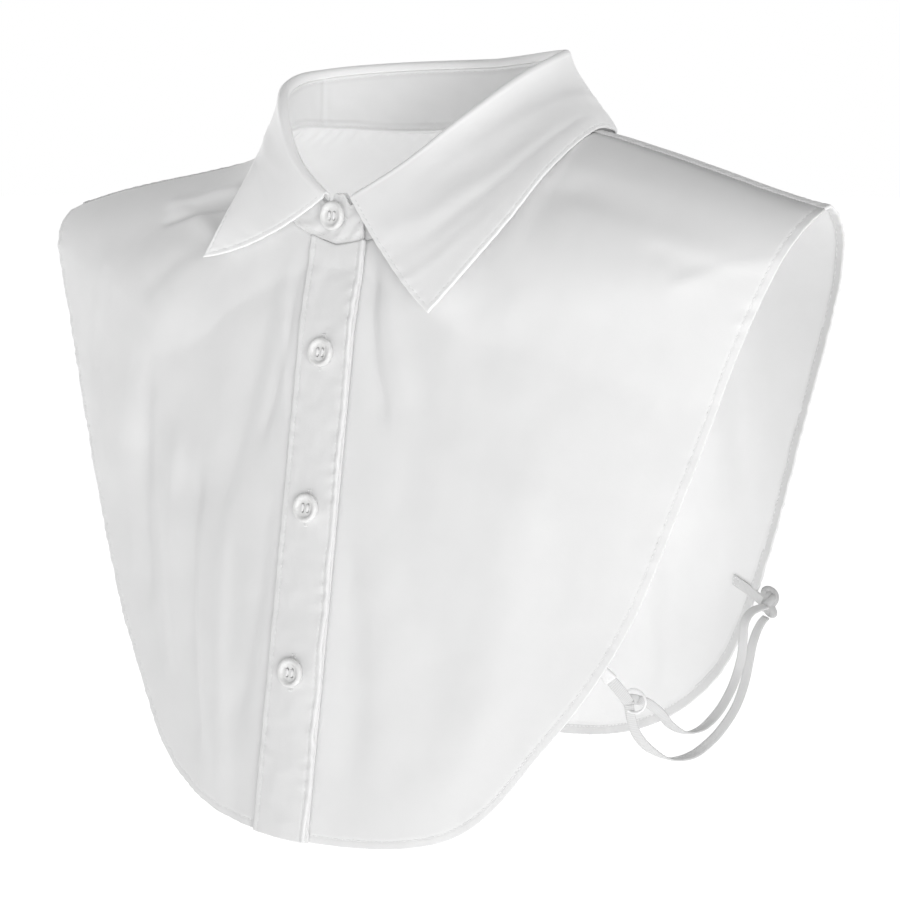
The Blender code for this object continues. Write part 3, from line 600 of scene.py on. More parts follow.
elasticSizes = {
    "width": 0.0039, "thickness": 0.0010, "diameter": 0.0040, "steps": 150, "acrossSteps": 6,
    "lengthInner": 0.119, "lengthOuter": 0.131,
    "face": (0.567, -0.810, 0.149),
    "turnReach": 0.0034, "turnSteps": 24, "turnThickness": 0.00096,
    "twistInner": {
        "share": [0.0, 0.15, 0.35, 0.50, 0.64, 0.80, 1.0],
        "turn": [60.0, 30.0, 5.0, 20.0, 75.0, 150.0, 175.0],
    },
    "twistOuter": {
        "share": [0.0, 0.10, 0.30, 0.50, 0.66, 0.82, 1.0],
        "turn": [55.0, 25.0, 0.0, 15.0, 78.0, 150.0, 175.0],
    },
}
elasticInner = [
    (0.1552, 0.0496, -0.2045), (0.1526, 0.0408, -0.2056), (0.1520, 0.0354, -0.2095),
    (0.1522, 0.0338, -0.2160), (0.1519, 0.0335, -0.2230), (0.1511, 0.0319, -0.2297),
    (0.1509, 0.0269, -0.2361), (0.1508, 0.0184, -0.2419), (0.1504, 0.0096, -0.2457),
    (0.1494, 0.0008, -0.2479), (0.1470, -0.0082, -0.2475), (0.1444, -0.0162, -0.2427),
    (0.1430, -0.0227, -0.2360), (0.1416, -0.0302, -0.2305), (0.1399, -0.0361, -0.2279),
]
elasticOuter = [
    (0.1543, 0.0519, -0.2100), (0.1529, 0.0482, -0.2134), (0.1524, 0.0433, -0.2197),
    (0.1524, 0.0399, -0.2276), (0.1525, 0.0353, -0.2365), (0.1522, 0.0279, -0.2450),
    (0.1511, 0.0180, -0.2516), (0.1498, 0.0081, -0.2557), (0.1478, -0.0036, -0.2583),
    (0.1442, -0.0158, -0.2572), (0.1406, -0.0263, -0.2509), (0.1385, -0.0336, -0.2433),
    (0.1380, -0.0378, -0.2354), (0.1382, -0.0400, -0.2290),
]


def routePoints(route, steps):
    table = {"share": np.linspace(0.0, 1.0, len(route))}
    for part, axis in enumerate("xyz"):
        table[axis] = [point[part] for point in route]
    fine = np.linspace(0.0, 1.0, 12 * len(route))
    dense = np.stack([smoothRead(table, axis, fine) for axis in "xyz"], 1)
    total = arcAlong(dense, 0)
    return readLine(np.linspace(0.0, total[-1], steps), total, dense)


def tapeGrid(points, aside):
    # points across a flat tape, from one edge to the other
    across = np.linspace(-0.5, 0.5, elasticSizes["acrossSteps"] + 1)
    return across, points[:, None, :] + aside[:, None, :] * across[None, :, None] * elasticSizes["width"]


def makeElastic(name, route, twist, mirror):
    sizes = elasticSizes
    points = mirrored(routePoints(route, sizes["steps"]), mirror)
    ways = unit(np.gradient(points, axis=0))
    sides = unit(np.cross(ways, mirrored(sizes["face"], mirror)))
    turn = np.radians(smoothRead(twist, "turn", np.linspace(0, 1, len(points))))[:, None] * mirror
    aside = sides * np.cos(turn) + np.cross(ways, sides) * np.sin(turn)
    normals = unit(np.cross(ways, aside))
    across, middle = tapeGrid(points, aside)
    half = sizes["thickness"] / 2 * roundEdge((0.5 - np.abs(across)) * sizes["width"] + 0.0001, 0.0006)
    half = np.broadcast_to(half[None, :], middle.shape[:2])
    allNormals = np.broadcast_to(normals[:, None, :], middle.shape)
    return makeShell(name, middle, allNormals, half, half, elasticWhite), points


tapes = {}
for mirror, side in ((1, "left"), (-1, "right")):
    for strand, route in (("Inner", elasticInner), ("Outer", elasticOuter)):
        name = f"elastic{strand}{side.capitalize()}"
        tapes[name] = makeElastic(name, route, elasticSizes["twist" + strand], mirror)
print("elastic made")


# knots behind the back panel's edge: a tape tied round itself

knotSizes = {
    "centre": (0.1550, 0.0530, -0.2035), "radii": (0.0039, 0.0039, 0.0070),
    "tape": 0.0017, "core": 0.74, "steps": 120,
}


def roundCord(name, path, radius, material, closed=False):
    curve = bpy.data.curves.new(name, "CURVE")
    curve.dimensions = "3D"
    curve.bevel_depth = radius
    curve.bevel_resolution = 3
    spline = curve.splines.new("POLY")
    spline.points.add(len(path) - 1)
    for point, place in zip(spline.points, path):
        point.co = (*place, 1.0)
    spline.use_cyclic_u = closed
    line = addObject(name + "Line", curve)
    bpy.context.view_layer.update()
    mesh = bpy.data.meshes.new_from_object(line.evaluated_get(bpy.context.evaluated_depsgraph_get()))
    bpy.data.objects.remove(line)
    builder = bmesh.new()
    builder.from_mesh(mesh)
    bmesh.ops.recalc_face_normals(builder, faces=builder.faces)
    return finishMesh(builder, name, material)


def makeKnot(name, mirror):
    sizes = knotSizes
    t = np.linspace(0.0, 2 * np.pi, sizes["steps"], endpoint=False)
    path = stack(np.sin(t) + 2 * np.sin(2 * t), np.cos(t) - 2 * np.cos(2 * t), -np.sin(3 * t))
    path = (path / np.abs(path).max(axis=0))[:, [2, 1, 0]]
    path = path * (np.array(sizes["radii"]) - sizes["tape"]) + np.array(sizes["centre"])
    wound = roundCord(name, mirrored(path, mirror), sizes["tape"], elasticThread, closed=True)
    builder = bmesh.new()
    builder.from_mesh(wound.data)
    made = bmesh.ops.create_uvsphere(builder, u_segments=20, v_segments=14, radius=1.0)
    bmesh.ops.scale(builder, verts=made["verts"], vec=[size * sizes["core"] for size in sizes["radii"]])
    bmesh.ops.translate(builder, verts=made["verts"], vec=Vector(mirrored(sizes["centre"], mirror)))
    builder.to_mesh(wound.data)
    builder.free()
    return wound


def makeTurn(name, outer, inner, mirror):
    # the elastic is one tape: it turns round at the front tab and comes back as the other strand
    sizes = elasticSizes
    start, end = outer[-1], inner[-1]
    first = start + unit(start - outer[-4]) * sizes["turnReach"]
    last = end + unit(end - inner[-4]) * sizes["turnReach"]
    t = np.linspace(0.0, 1.0, sizes["turnSteps"])[:, None]
    bend = start * (1 - t) ** 3 + first * 3 * t * (1 - t) ** 2 + last * 3 * t**2 * (1 - t) + end * t**3
    aside = unit(np.cross(unit(np.gradient(bend, axis=0)), mirrored(sizes["face"], mirror)))
    _, middle = tapeGrid(bend, aside)
    half = np.full(middle.shape[:2], sizes["turnThickness"] / 2)
    return makeShell(name, middle, gridNormals(middle), half, half, elasticWhite)


elasticThread = threadMaterial("elasticThread", 0.46, 0.7, 1400.0)
for mirror, side in ((1, "left"), (-1, "right")):
    name = side.capitalize()
    knot = makeKnot("knot" + name, mirror)
    settle(knot, "knot_" + side)
    outer, inner = (tapes[f"elastic{strand}{name}"][1] for strand in ("Outer", "Inner"))
    turn = makeTurn("elasticTurn" + name, outer, inner, mirror)
    settle(turn, None)
    for strand in ("Inner", "Outer"):
        piece, points = tapes[f"elastic{strand}{name}"]
        settle(piece, f"elastic_{strand.lower()}_{side}")


# front panels

frontSizes = {
    "wall": 0.00070, "hem": 0.0042, "hemExtra": 0.00050, "stitchIn": 0.0033, "columns": 190, "rows": 150,
    "placketHalf": 0.014, "band": 3 / 22,  # band: the placket's share of the columns
    "pucker": 0.00036, "puckerLength": 0.0062, "seamGroove": 0.00020,
}


def hemShareAt(across, side):
    return across / frontHem[side][1] * frontHem["share"][1]


def seamTurn(across):
    reach, _, _ = sideSizes(across, "front")
    return -np.arcsin(form["seamForward"] / reach) / (np.pi / 2)


def frontEnds(column, mirror):
    side = "left" if mirror > 0 else "right"
    edge, band = frontSizes["placketHalf"], frontSizes["band"]
    across = -edge + 2 * edge * np.minimum(column, band) / band
    bandAngle = np.degrees(np.arcsin(np.abs(across) / form["neckHalf"]))
    edgeAngle = math.degrees(math.asin(edge / form["neckHalf"]))
    t = np.clip((column - band) / (1.0 - band), 0.0, 1.0)
    first = hemShareAt(edge, side)
    inBand = column <= band
    angle = np.where(inBand, bandAngle, edgeAngle + (90.0 - edgeAngle) * t)
    share = np.where(inBand, hemShareAt(np.abs(across), side), first + (1.0 - first) * t)
    neckAcross = np.where(inBand, across, form["neckHalf"] * np.sin(np.radians(angle)))
    # the hem's own curve starts a hair off the band's edge, so it is eased onto it
    slip = smoothRead(frontHem, side, first) - edge
    hemAcross = np.where(inBand, across, smoothRead(frontHem, side, share) - slip * fade(t, 0.0, 0.15))
    neckTurn = smoothRead(neckSeam, "turn", angle, "angle")
    hemHeight = smoothRead(frontHem, "height", share, flatStart=True)
    hemTurn = turnAtHeight(mirror * hemAcross, hemHeight, "front")
    return neckAcross, neckTurn, hemAcross, hemTurn


def frontSpot(column, row, mirror):
    neckAcross, neckTurn, hemAcross, hemTurn = frontEnds(column, mirror)
    across = neckAcross + (hemAcross - neckAcross) * row
    turn = neckTurn + (hemTurn - neckTurn) * row
    return mirror * across, turn + seamTurn(across) * column ** form["seamDraw"]


def rowGrid(columns, rowCount, spot, extra):
    # rows spaced evenly down each column, and closely over the last millimetres before the hem
    even = np.linspace(0.0, 1.0, 60)
    c, r = np.meshgrid(columns, even, indexing="ij")
    length = arcAlong(clothPoint(*spot(c, r)), 1)[:, -1]
    shares = np.array([closeSpaced(rowCount, one, extra) for one in length])
    return np.broadcast_to(columns[:, None], shares.shape), shares


def hemRelief(distance, along, sizes, seed):
    # puckers that the hem's stitching draws, and the step where the turned cloth ends inside
    pucker = sizes["pucker"] * waves(along, sizes["puckerLength"], seed) * bell(distance, 0.0022, 0.0032)
    wide = waves(along, sizes["puckerLength"] * 2.7, seed + 1.0) * bell(distance, 0.0, 0.008)
    pucker += 0.6 * sizes["pucker"] * wide
    groove = -stitchSizes["groove"] * bell(distance, sizes["stitchIn"], 0.0005)
    turned = sizes["hemExtra"] * fade(distance, sizes["hem"] - 0.0004, sizes["hem"] + 0.0004)
    return pucker, groove, turned


def makeFront(name, mirror, layer, seed):
    sizes = frontSizes
    columns = np.linspace(0.0, 1.0, sizes["columns"] + 1)
    c, r = rowGrid(columns, sizes["rows"], lambda a, b: frontSpot(a, b, mirror), edgeSteps)
    across, turn = frontSpot(c, r, mirror)
    base = clothPoint(across, turn)
    calm = fade(1.0 - c, 0.0, form["seamCalm"])
    lift = layer * form["layerShift"] * fade(np.abs(across), *form["layerFade"])
    relief = panelRelief(across, base[..., 2], "front") * (1.0 - calm)
    down = arcAlong(base, 1)
    distance = down[:, -1:] - down
    pucker, groove, turned = hemRelief(distance, arcAlong(base[:, -1:, :], 0), sizes, seed)
    seam = (1.0 - c) * arcAlong(base, 0)[-1:, :]
    middle = base + clothNormal(across, turn) * (lift + relief + pucker)[..., None]
    normals = outwardNormals(middle, across, turn)
    edge = roundEdge(distance + hairline, 0.0005)
    outer = sizes["wall"] / 2 * edge + groove - sizes["seamGroove"] * bell(seam, 0.0, 0.0008)
    inner = (sizes["wall"] / 2 + turned + groove) * edge
    piece = makeShell(name, middle, normals, outer, inner, poplinWhite, doubled=distance < sizes["hem"])
    threads = bmesh.new()
    for side, depth in ((1, outer), (-1, inner)):
        face = middle + normals * (depth * side)[..., None]
        sewLine(threads, face, normals * side, distance, sizes["stitchIn"], 1)
    return piece, finishMesh(threads, name + "HemThread", threadWhite)


frontLeft, frontLeftThread = makeFront("frontLeft", 1, -1.0, 0.7)
frontRight, frontRightThread = makeFront("frontRight", -1, 1.0, 2.9)
fronts = ((frontLeft, frontLeftThread, "front_left"), (frontRight, frontRightThread, "front_right"))
for piece, thread, node in fronts:
    settle(piece, node)
    settle(thread, None)
print("front panels sewn")


# back panel

backSizes = {
    "wall": 0.00070, "hem": 0.0052, "hemExtra": 0.00050, "stitchIn": 0.0042, "columns": 300, "rows": 130,
    "pucker": 0.00036, "puckerLength": 0.0062, "neckPucker": 0.00075, "seamPucker": 0.00012,
    "fell": 0.0060, "fellExtra": 0.00035, "fellStitchIn": 0.0050,
}


def backSpot(column, row):
    side = 2.0 * column - 1.0
    share = np.abs(side)
    angle = 180.0 - 90.0 * share
    neckAcross = form["neckHalf"] * np.sin(np.radians(angle))
    neckTurn = smoothRead(neckSeam, "turn", angle, "angle")
    hemAcross = smoothRead(backHem, "across", share)
    hemHeight = smoothRead(backHem, "height", share, flatStart=True)
    hemTurn = turnAtHeight(np.copysign(hemAcross, side), hemHeight, "back")
    across = neckAcross + (hemAcross - neckAcross) * row
    turn = neckTurn + (hemTurn - neckTurn) * row
    turn = turn + seamTurn(across) * share ** form["seamDraw"]
    return np.copysign(across, side), turn


def makeBack(name):
    sizes = backSizes
    columns = closeSpaced(sizes["columns"], 0.24, edgeSteps, start=True)
    c, r = rowGrid(columns, sizes["rows"], backSpot, edgeSteps)
    across, turn = backSpot(c, r)
    base = clothPoint(across, turn)
    calm = fade(1.0 - np.abs(2.0 * c - 1.0), 0.0, form["seamCalm"])
    relief = panelRelief(across, base[..., 2], "back") * (1.0 - calm)
    along, down = arcAlong(base, 0), arcAlong(base, 1)
    distance = down[:, -1:] - down
    pucker, groove, turned = hemRelief(distance, arcAlong(base[:, -1:, :], 0), sizes, 5.1)
    seam = np.minimum(*bothEnds(along))
    fell = sizes["fellExtra"] * fade(seam, sizes["fell"] - 0.0006, sizes["fell"] + 0.0006)
    pucker = pucker + sizes["seamPucker"] * waves(down, 0.007, 1.9) * bell(seam, 0.0, 0.007)
    pucker = pucker + sizes["neckPucker"] * waves(along, 0.0085, 3.3) * bell(down, 0.005, 0.006)
    middle = base + clothNormal(across, turn) * (relief + pucker)[..., None]
    normals = outwardNormals(middle, across, turn)
    edge = roundEdge(distance + hairline, 0.0005)
    outer = sizes["wall"] / 2 * edge + groove + fell * edge
    inner = (sizes["wall"] / 2 + turned + groove) * edge
    piece = makeShell(name, middle, normals, outer, inner, poplinWhite, doubled=distance < sizes["hem"])
    threads = bmesh.new()
    half = len(columns) // 2
    for side, depth in ((1, outer), (-1, inner)):
        face, up = middle + normals * (depth * side)[..., None], normals * side
        sewLine(threads, face, up, distance, sizes["stitchIn"], 1)
        for part in (slice(0, half), slice(half, None)):
            sewLine(threads, face[part], up[part], seam[part], sizes["fellStitchIn"], 0, skip=0.003)
    return piece, finishMesh(threads, name + "Thread", threadWhite)


backPanel, backThread = makeBack("backPanel")
settle(backPanel, "back")
settle(backThread, None)
print("back panel sewn")


# placket: the doubled band down the right front's edge

placketSizes = {
    "width": 0.028, "wall": 0.0010, "gap": 0.0005, "top": 0.0012, "columns": 40, "rows": 240,
    "length": 0.25, "stitchIn": 0.0026, "lift": 0.00015, "sway": 0.0008, "inside": 0.00060, "roll": 0.00035,
    "leftPucker": 0.00022, "rightPucker": 0.00024, "swell": 0.00030, "crumple": 0.00016,
}


def placketSpot(column, row):
    top = placketSizes["top"]
    return frontSpot((1.0 - column) * frontSizes["band"], top + (1.0 - top) * row, -1)


def placketPlace(column, row):
    across, turn = placketSpot(column, row)
    base = clothPoint(across, turn)
    normals = clothNormal(across, turn)
    out = form["panelWall"] / 2 + placketSizes["gap"] + placketSizes["wall"] / 2
    out = out + form["layerShift"] * fade(np.abs(across), *form["layerFade"])
    out = out + panelRelief(across, base[..., 2], "front")
    return base, normals, out


def makePlacket(name):
    sizes = placketSizes
    columns = closeSpaced(sizes["columns"], sizes["width"], edgeSteps[:12], start=True)
    rows = closeSpaced(sizes["rows"], sizes["length"], edgeSteps[:12])
    c, r = np.meshgrid(columns, rows, indexing="ij")
    base, normals, out = placketPlace(c, r)
    down = arcAlong(base, 1)
    left, right = c * sizes["width"], (1.0 - c) * sizes["width"]
    side, hem = np.minimum(left, right), down[:, -1:] - down
    pucker = sizes["leftPucker"] * waves(down, 0.0085, 0.4) * bell(left, 0.002, 0.003)
    pucker += sizes["rightPucker"] * waves(down, 0.0078, 3.3) * bell(right, 0.002, 0.003)
    pucker += sizes["swell"] * crumple(base[..., 0] * 1.6, base[..., 2], 3.0, 0.034)
    pucker += sizes["crumple"] * crumple(base[..., 0], base[..., 2], 7.0, 0.013)
    free = bell(right, 0.0, 0.0035)  # the free edge stands a little off the cloth below
    pucker += free * (sizes["lift"] * 0.5 + sizes["lift"] * 0.5 * waves(down, 0.052, 1.1))
    middle = base + normals * (out + pucker)[..., None]
    middle[..., 0] += sizes["sway"] * waves(down, 0.047, 2.2) * free
    normals = outwardNormals(middle, *placketSpot(c, r))
    groove = -stitchSizes["groove"] * bell(side, sizes["stitchIn"], 0.0005)
    edge = roundEdge(np.minimum(side, hem) + hairline, 0.0006)
    rolled = sizes["roll"] * bell(right, 0.0009, 0.0009)
    outer = (sizes["wall"] / 2 + groove + rolled) * edge
    inner = (sizes["wall"] / 2 + sizes["inside"]) * edge
    piece = makeShell(name, middle, normals, outer, inner, poplinWhite)
    threads = bmesh.new()
    face = middle + normals * outer[..., None]
    for distance in (left, right):
        sewLine(threads, face, normals, distance, sizes["stitchIn"], 0)
    return piece, finishMesh(threads, name + "Thread", threadWhite)


placket, placketThread = makePlacket("placketBand")
settle(placket, "placket")
settle(placketThread, None)
print("placket sewn")


# collar: stand and turned-down fall

collarSizes = {
    "wall": 0.0013, "stitchIn": 0.0020, "topStitchIn": 0.0016,
    "rollWidth": 0.0623, "rollDepth": 0.0589, "rollCentre": 0.0124,
    "overlap": 11.5, "turnOver": 50.0, "endRise": 0.0075, "riseFade": (1.0, 5.5), "footDrop": 0.0011,
    "standShift": 0.0012, "frontSlack": 0.0010, "standGap": 0.0008, "standLift": 0.0002,
    "standColumns": 420, "standRows": 26,
    "standWave": 0.00035, "footPucker": 0.00010, "standCrease": 0.00090, "standSwell": 0.00030,
    "lapped": 0.0006, "bound": 0.0005, "innerGroove": 0.00042, "joinGroove": 0.00050,
    "joins": (112.5, 275.5), "joinWidth": 1.5,  # seams of the stand's inner band, in degrees
    "foldRise": 0.0014, "foldRadius": 0.0018, "foldLeg": 0.0018, "fallStart": 6.5, "straightTurn": 40.0,
    "fallColumns": 420, "fallRows": 64, "foldRows": 14,
    "fallSwell": 0.00025, "fallCrumple": 0.00004, "fallPucker": 0.00016, "fallWave": 0.00045,
    "letDown": 0.0014, "letDownGap": 0.0003,
}
rollLine = {
    "angle": [0.0, 25.0, 50.0, 75.0, 100.0, 135.0, 180.0],
    "left": [-0.0331, -0.0176, 0.0032, 0.0205, 0.0300, 0.0345, 0.0336],
    "right": [-0.0331, -0.0140, 0.0120, 0.0235, 0.0285, 0.0325, 0.0336],
}
fallEdgeLeft = {
    "angle": [6.5, 30.0, 50.0, 70.0, 90.0, 110.0, 130.0, 150.0, 180.0],
    "across": [0.0583, 0.0735, 0.0860, 0.0950, 0.0965, 0.0885, 0.0720, 0.0450, 0.0],
    "depth": [-0.0655, -0.0610, -0.0500, -0.0290, 0.0010, 0.0300, 0.0560, 0.0770, 0.0880],
    "height": [-0.0752, -0.0580, -0.0390, -0.0158, -0.0014, -0.0014, -0.0040, -0.0070, -0.0090],
}
fallEdgeRight = {
    "angle": [6.5, 30.0, 50.0, 70.0, 90.0, 110.0, 130.0, 150.0, 180.0],
    "across": [0.0670, 0.0615, 0.0590, 0.0660, 0.0770, 0.0815, 0.0710, 0.0450, 0.0],
    "depth": [-0.0605, -0.0540, -0.0420, -0.0220, 0.0010, 0.0280, 0.0550, 0.0770, 0.0880],
    "height": [-0.0560, -0.0405, -0.0243, -0.0091, -0.0043, -0.0040, -0.0045, -0.0070, -0.0090],
}
fallForm = {
    "out": [0.30, 0.16], "down": [0.95, 1.0], "first": [0.34, 0.34], "last": [0.30, 0.30],
    "full": [0.05, 0.02], "sag": [0.0045, 0.0060],
}


def around(angle):
    turn = np.radians(angle)
    return stack(np.sin(turn), -np.cos(turn), 0.0 * turn)


def rollPoint(angle):
    size = np.abs(angle)
    left, right = (smoothRead(rollLine, side, size, "angle") for side in ("left", "right"))
    turn = np.radians(angle)
    depth = collarSizes["rollCentre"] - collarSizes["rollDepth"] * np.cos(turn)
    height = np.where(np.asarray(angle) >= 0, left, right)
    return stack(collarSizes["rollWidth"] * np.sin(turn), depth, height)


def seamPoint(angle):
    size = np.abs(angle)
    across = np.copysign(form["neckHalf"] * np.sin(np.radians(size)), angle)
    turn = smoothRead(neckSeam, "turn", size, "angle")
    slack = form["panelWall"] / 2 * np.cos(np.minimum(np.abs(turn), 1.0) * np.pi / 2)
    slack = slack + collarSizes["frontSlack"] * fade(size, collarSizes["overlap"], collarSizes["turnOver"])
    point = clothPoint(across, turn)
    point[..., 2] += collarSizes["standGap"] + slack
    return point


def standPlace(column, row):
    sizes = collarSizes
    run = -sizes["overlap"] + (360.0 + 2 * sizes["overlap"]) * column
    angle = np.where(run <= 180.0, run, run - 360.0)
    under = fade(run, sizes["overlap"], sizes["turnOver"])
    over = fade(360.0 - run, sizes["overlap"], sizes["turnOver"])
    foot = seamPoint(angle)
    top = rollPoint(np.where(np.abs(angle) > sizes["overlap"], angle, np.abs(angle)))
    top[..., 0] = np.copysign(np.abs(top[..., 0]), angle)
    top[..., 2] -= sizes["foldRise"] + sizes["foldLeg"] - sizes["standLift"]
    top[..., 2] += sizes["endRise"] * fade(np.abs(angle), *sizes["riseFade"])
    foot[..., 2] -= sizes["standGap"] + sizes["footDrop"]
    point = foot + (top - foot) * row[..., None]
    return point + around(angle) * (sizes["standShift"] * (over - under))[..., None]


def makeStand(name):
    sizes = collarSizes
    columns = closeSpaced(sizes["standColumns"], 0.42, edgeSteps[:10], start=True)
    rows = closeSpaced(sizes["standRows"], 0.032, edgeSteps[:8], start=True)
    c, r = np.meshgrid(columns, rows, indexing="ij")
    middle = standPlace(c, r)
    along, up = arcAlong(middle, 0), arcAlong(middle, 1)
    ends = np.minimum(*bothEnds(along))
    high = up[:, -1:] - up
    body = np.sin(np.pi * np.clip(r, 0, 1))
    normals = gridNormals(middle)
    run = (360.0 + 2 * sizes["overlap"]) * c
    last = run[-1, 0]
    bulge = sizes["standWave"] * body * waves(along, 0.046, 0.9)
    bulge = bulge + sizes["footPucker"] * waves(along, 0.007, 2.0) * bell(up, 0.0, 0.004)
    soft = fade(np.minimum(run, last - run), 26.0, 44.0) * np.clip(body * 2.0, 0.0, 1.0)
    bulge = bulge + sizes["standCrease"] * crumple(along, up, 9.0, 0.015) * soft
    bulge = bulge + sizes["standSwell"] * crumple(along, up, 7.0, 0.020) * body
    middle = middle + normals * bulge[..., None]
    seamLine = bell(up, sizes["stitchIn"], 0.0006) + bell(high, sizes["topStitchIn"], 0.0006)
    joined = sum(bell(run, place, sizes["joinWidth"]) for place in sizes["joins"])
    edge = roundEdge(np.minimum(np.minimum(ends, up), high) + hairline, 0.0006)
    # the stand's end laps over the placket's top, and its inner foot is bound
    lapped = sizes["lapped"] * fade(up, 0.002, 0.010) * fade(last - run, 22.0, 30.0)
    bound = sizes["bound"] * fade(up, 0.0034, 0.0040) * fade(np.abs(run - last / 2), 140.0, 160.0)
    outer = (sizes["wall"] / 2 - stitchSizes["collarGroove"] * seamLine + lapped) * edge
    drawn = sizes["innerGroove"] * seamLine + sizes["joinGroove"] * joined
    inner = (sizes["wall"] / 2 - drawn + bound) * edge
    piece = makeShell(name, middle, normals, outer, inner, poplinWhite)
    threads = bmesh.new()
    for side, depth in ((1, outer), (-1, inner)):
        face = middle + normals * (depth * side)[..., None]
        for distance, inset in ((up, sizes["stitchIn"]), (high, sizes["topStitchIn"])):
            sewLine(threads, face, normals * side, distance, inset, 1, skip=0.002)
    face = middle + normals * outer[..., None]
    for end in bothEnds(along):
        sewLine(threads, face, normals, end, sizes["stitchIn"], 0, skip=0.003)
    return piece, finishMesh(threads, name + "Thread", threadWhite)


def fallEdge(angle):
    size = np.abs(angle)
    keys = ("across", "depth", "height")
    left = [smoothRead(fallEdgeLeft, key, size, "angle") for key in keys]
    right = [smoothRead(fallEdgeRight, key, size, "angle") for key in keys]
    x, y, z = (np.where(np.asarray(angle) >= 0, one, two) for one, two in zip(left, right))
    return stack(np.copysign(x, angle), y, z)


def fallPlace(angle, stretch):
    # stretch: below 0 the short leg, 0 to 1 the fold, 1 to 2 the long leg down to the edge
    sizes = collarSizes
    roll = rollPoint(angle)
    outward = around(angle)
    down = np.array([0.0, 0.0, -1.0])
    hinge = roll + down * sizes["foldRise"]
    leg = hinge + down * (np.maximum(-stretch, 0.0) * sizes["foldLeg"])[..., None]
    turn = np.pi * (1.0 - np.clip(stretch, 0.0, 1.0))[..., None]
    radius = sizes["foldRadius"]
    fold = leg + outward * radius * (1.0 + np.cos(turn)) - down * radius * np.sin(turn)
    start = hinge + outward * 2 * sizes["foldRadius"]
    edge = fallEdge(angle)
    length = np.linalg.norm(edge - start, axis=-1, keepdims=True)
    isLeft = np.asarray(angle) >= 0
    pick = {key: np.where(isLeft, two[0], two[1])[..., None] for key, two in fallForm.items()}
    straight = fade(np.abs(angle) - sizes["fallStart"], 0.0, sizes["straightTurn"])[..., None]
    leave = (outward * pick["out"] + down * pick["down"]) * (1.0 - straight)
    leave = leave + (edge - start) / length * straight
    sag = down * pick["sag"] * straight
    first = start + leave * length * pick["first"] + sag
    last = edge - (edge - start) * pick["last"] + sag + outward * length * pick["full"] * (1.0 - straight)
    t = np.clip(stretch - 1.0, 0.0, 1.0)[..., None]
    long = start * (1 - t) ** 3 + first * 3 * t * (1 - t) ** 2 + last * 3 * t**2 * (1 - t) + edge * t**3
    return np.where((stretch <= 1.0)[..., None], fold, long)


def gapBelow(points, normals):
    # how far the edge of the turned-down collar can be let down onto the cloth under it
    graph = bpy.context.evaluated_depsgraph_get()
    trees = [BVHTree.FromObject(piece, graph) for piece in (frontLeft, frontRight, backPanel)]
    gaps = np.zeros(len(points))
    for number, (point, normal) in enumerate(zip(points, normals)):
        hits = [tree.ray_cast(Vector(point), Vector(-normal), 0.004)[3] for tree in trees]
        near = [hit for hit in hits if hit is not None]
        if near:
            gap = min(near) - collarSizes["wall"] / 2 - collarSizes["letDownGap"]
            gaps[number] = np.clip(gap, 0.0, collarSizes["letDown"])
    soft = np.hanning(31)
    return np.convolve(gaps, soft / soft.sum(), mode="same")


# creases of the fall: angle round the neck, share down the leg, both ends; width, how far out
fallCreases = [
    (20.0, 0.35, 62.0, 0.62, 0.075, 0.0004), (30.0, 0.55, 75.0, 0.72, 0.060, -0.0005),
    (14.0, 0.70, 50.0, 0.86, 0.060, 0.0003), (60.0, 0.30, 110.0, 0.55, 0.090, 0.0005),
    (-20.0, 0.40, -60.0, 0.66, 0.080, -0.0005), (-110.0, 0.35, -70.0, 0.70, 0.090, 0.0006),
    (120.0, 0.60, 170.0, 0.50, 0.100, -0.0006), (-170.0, 0.40, -125.0, 0.62, 0.100, 0.0006),
]


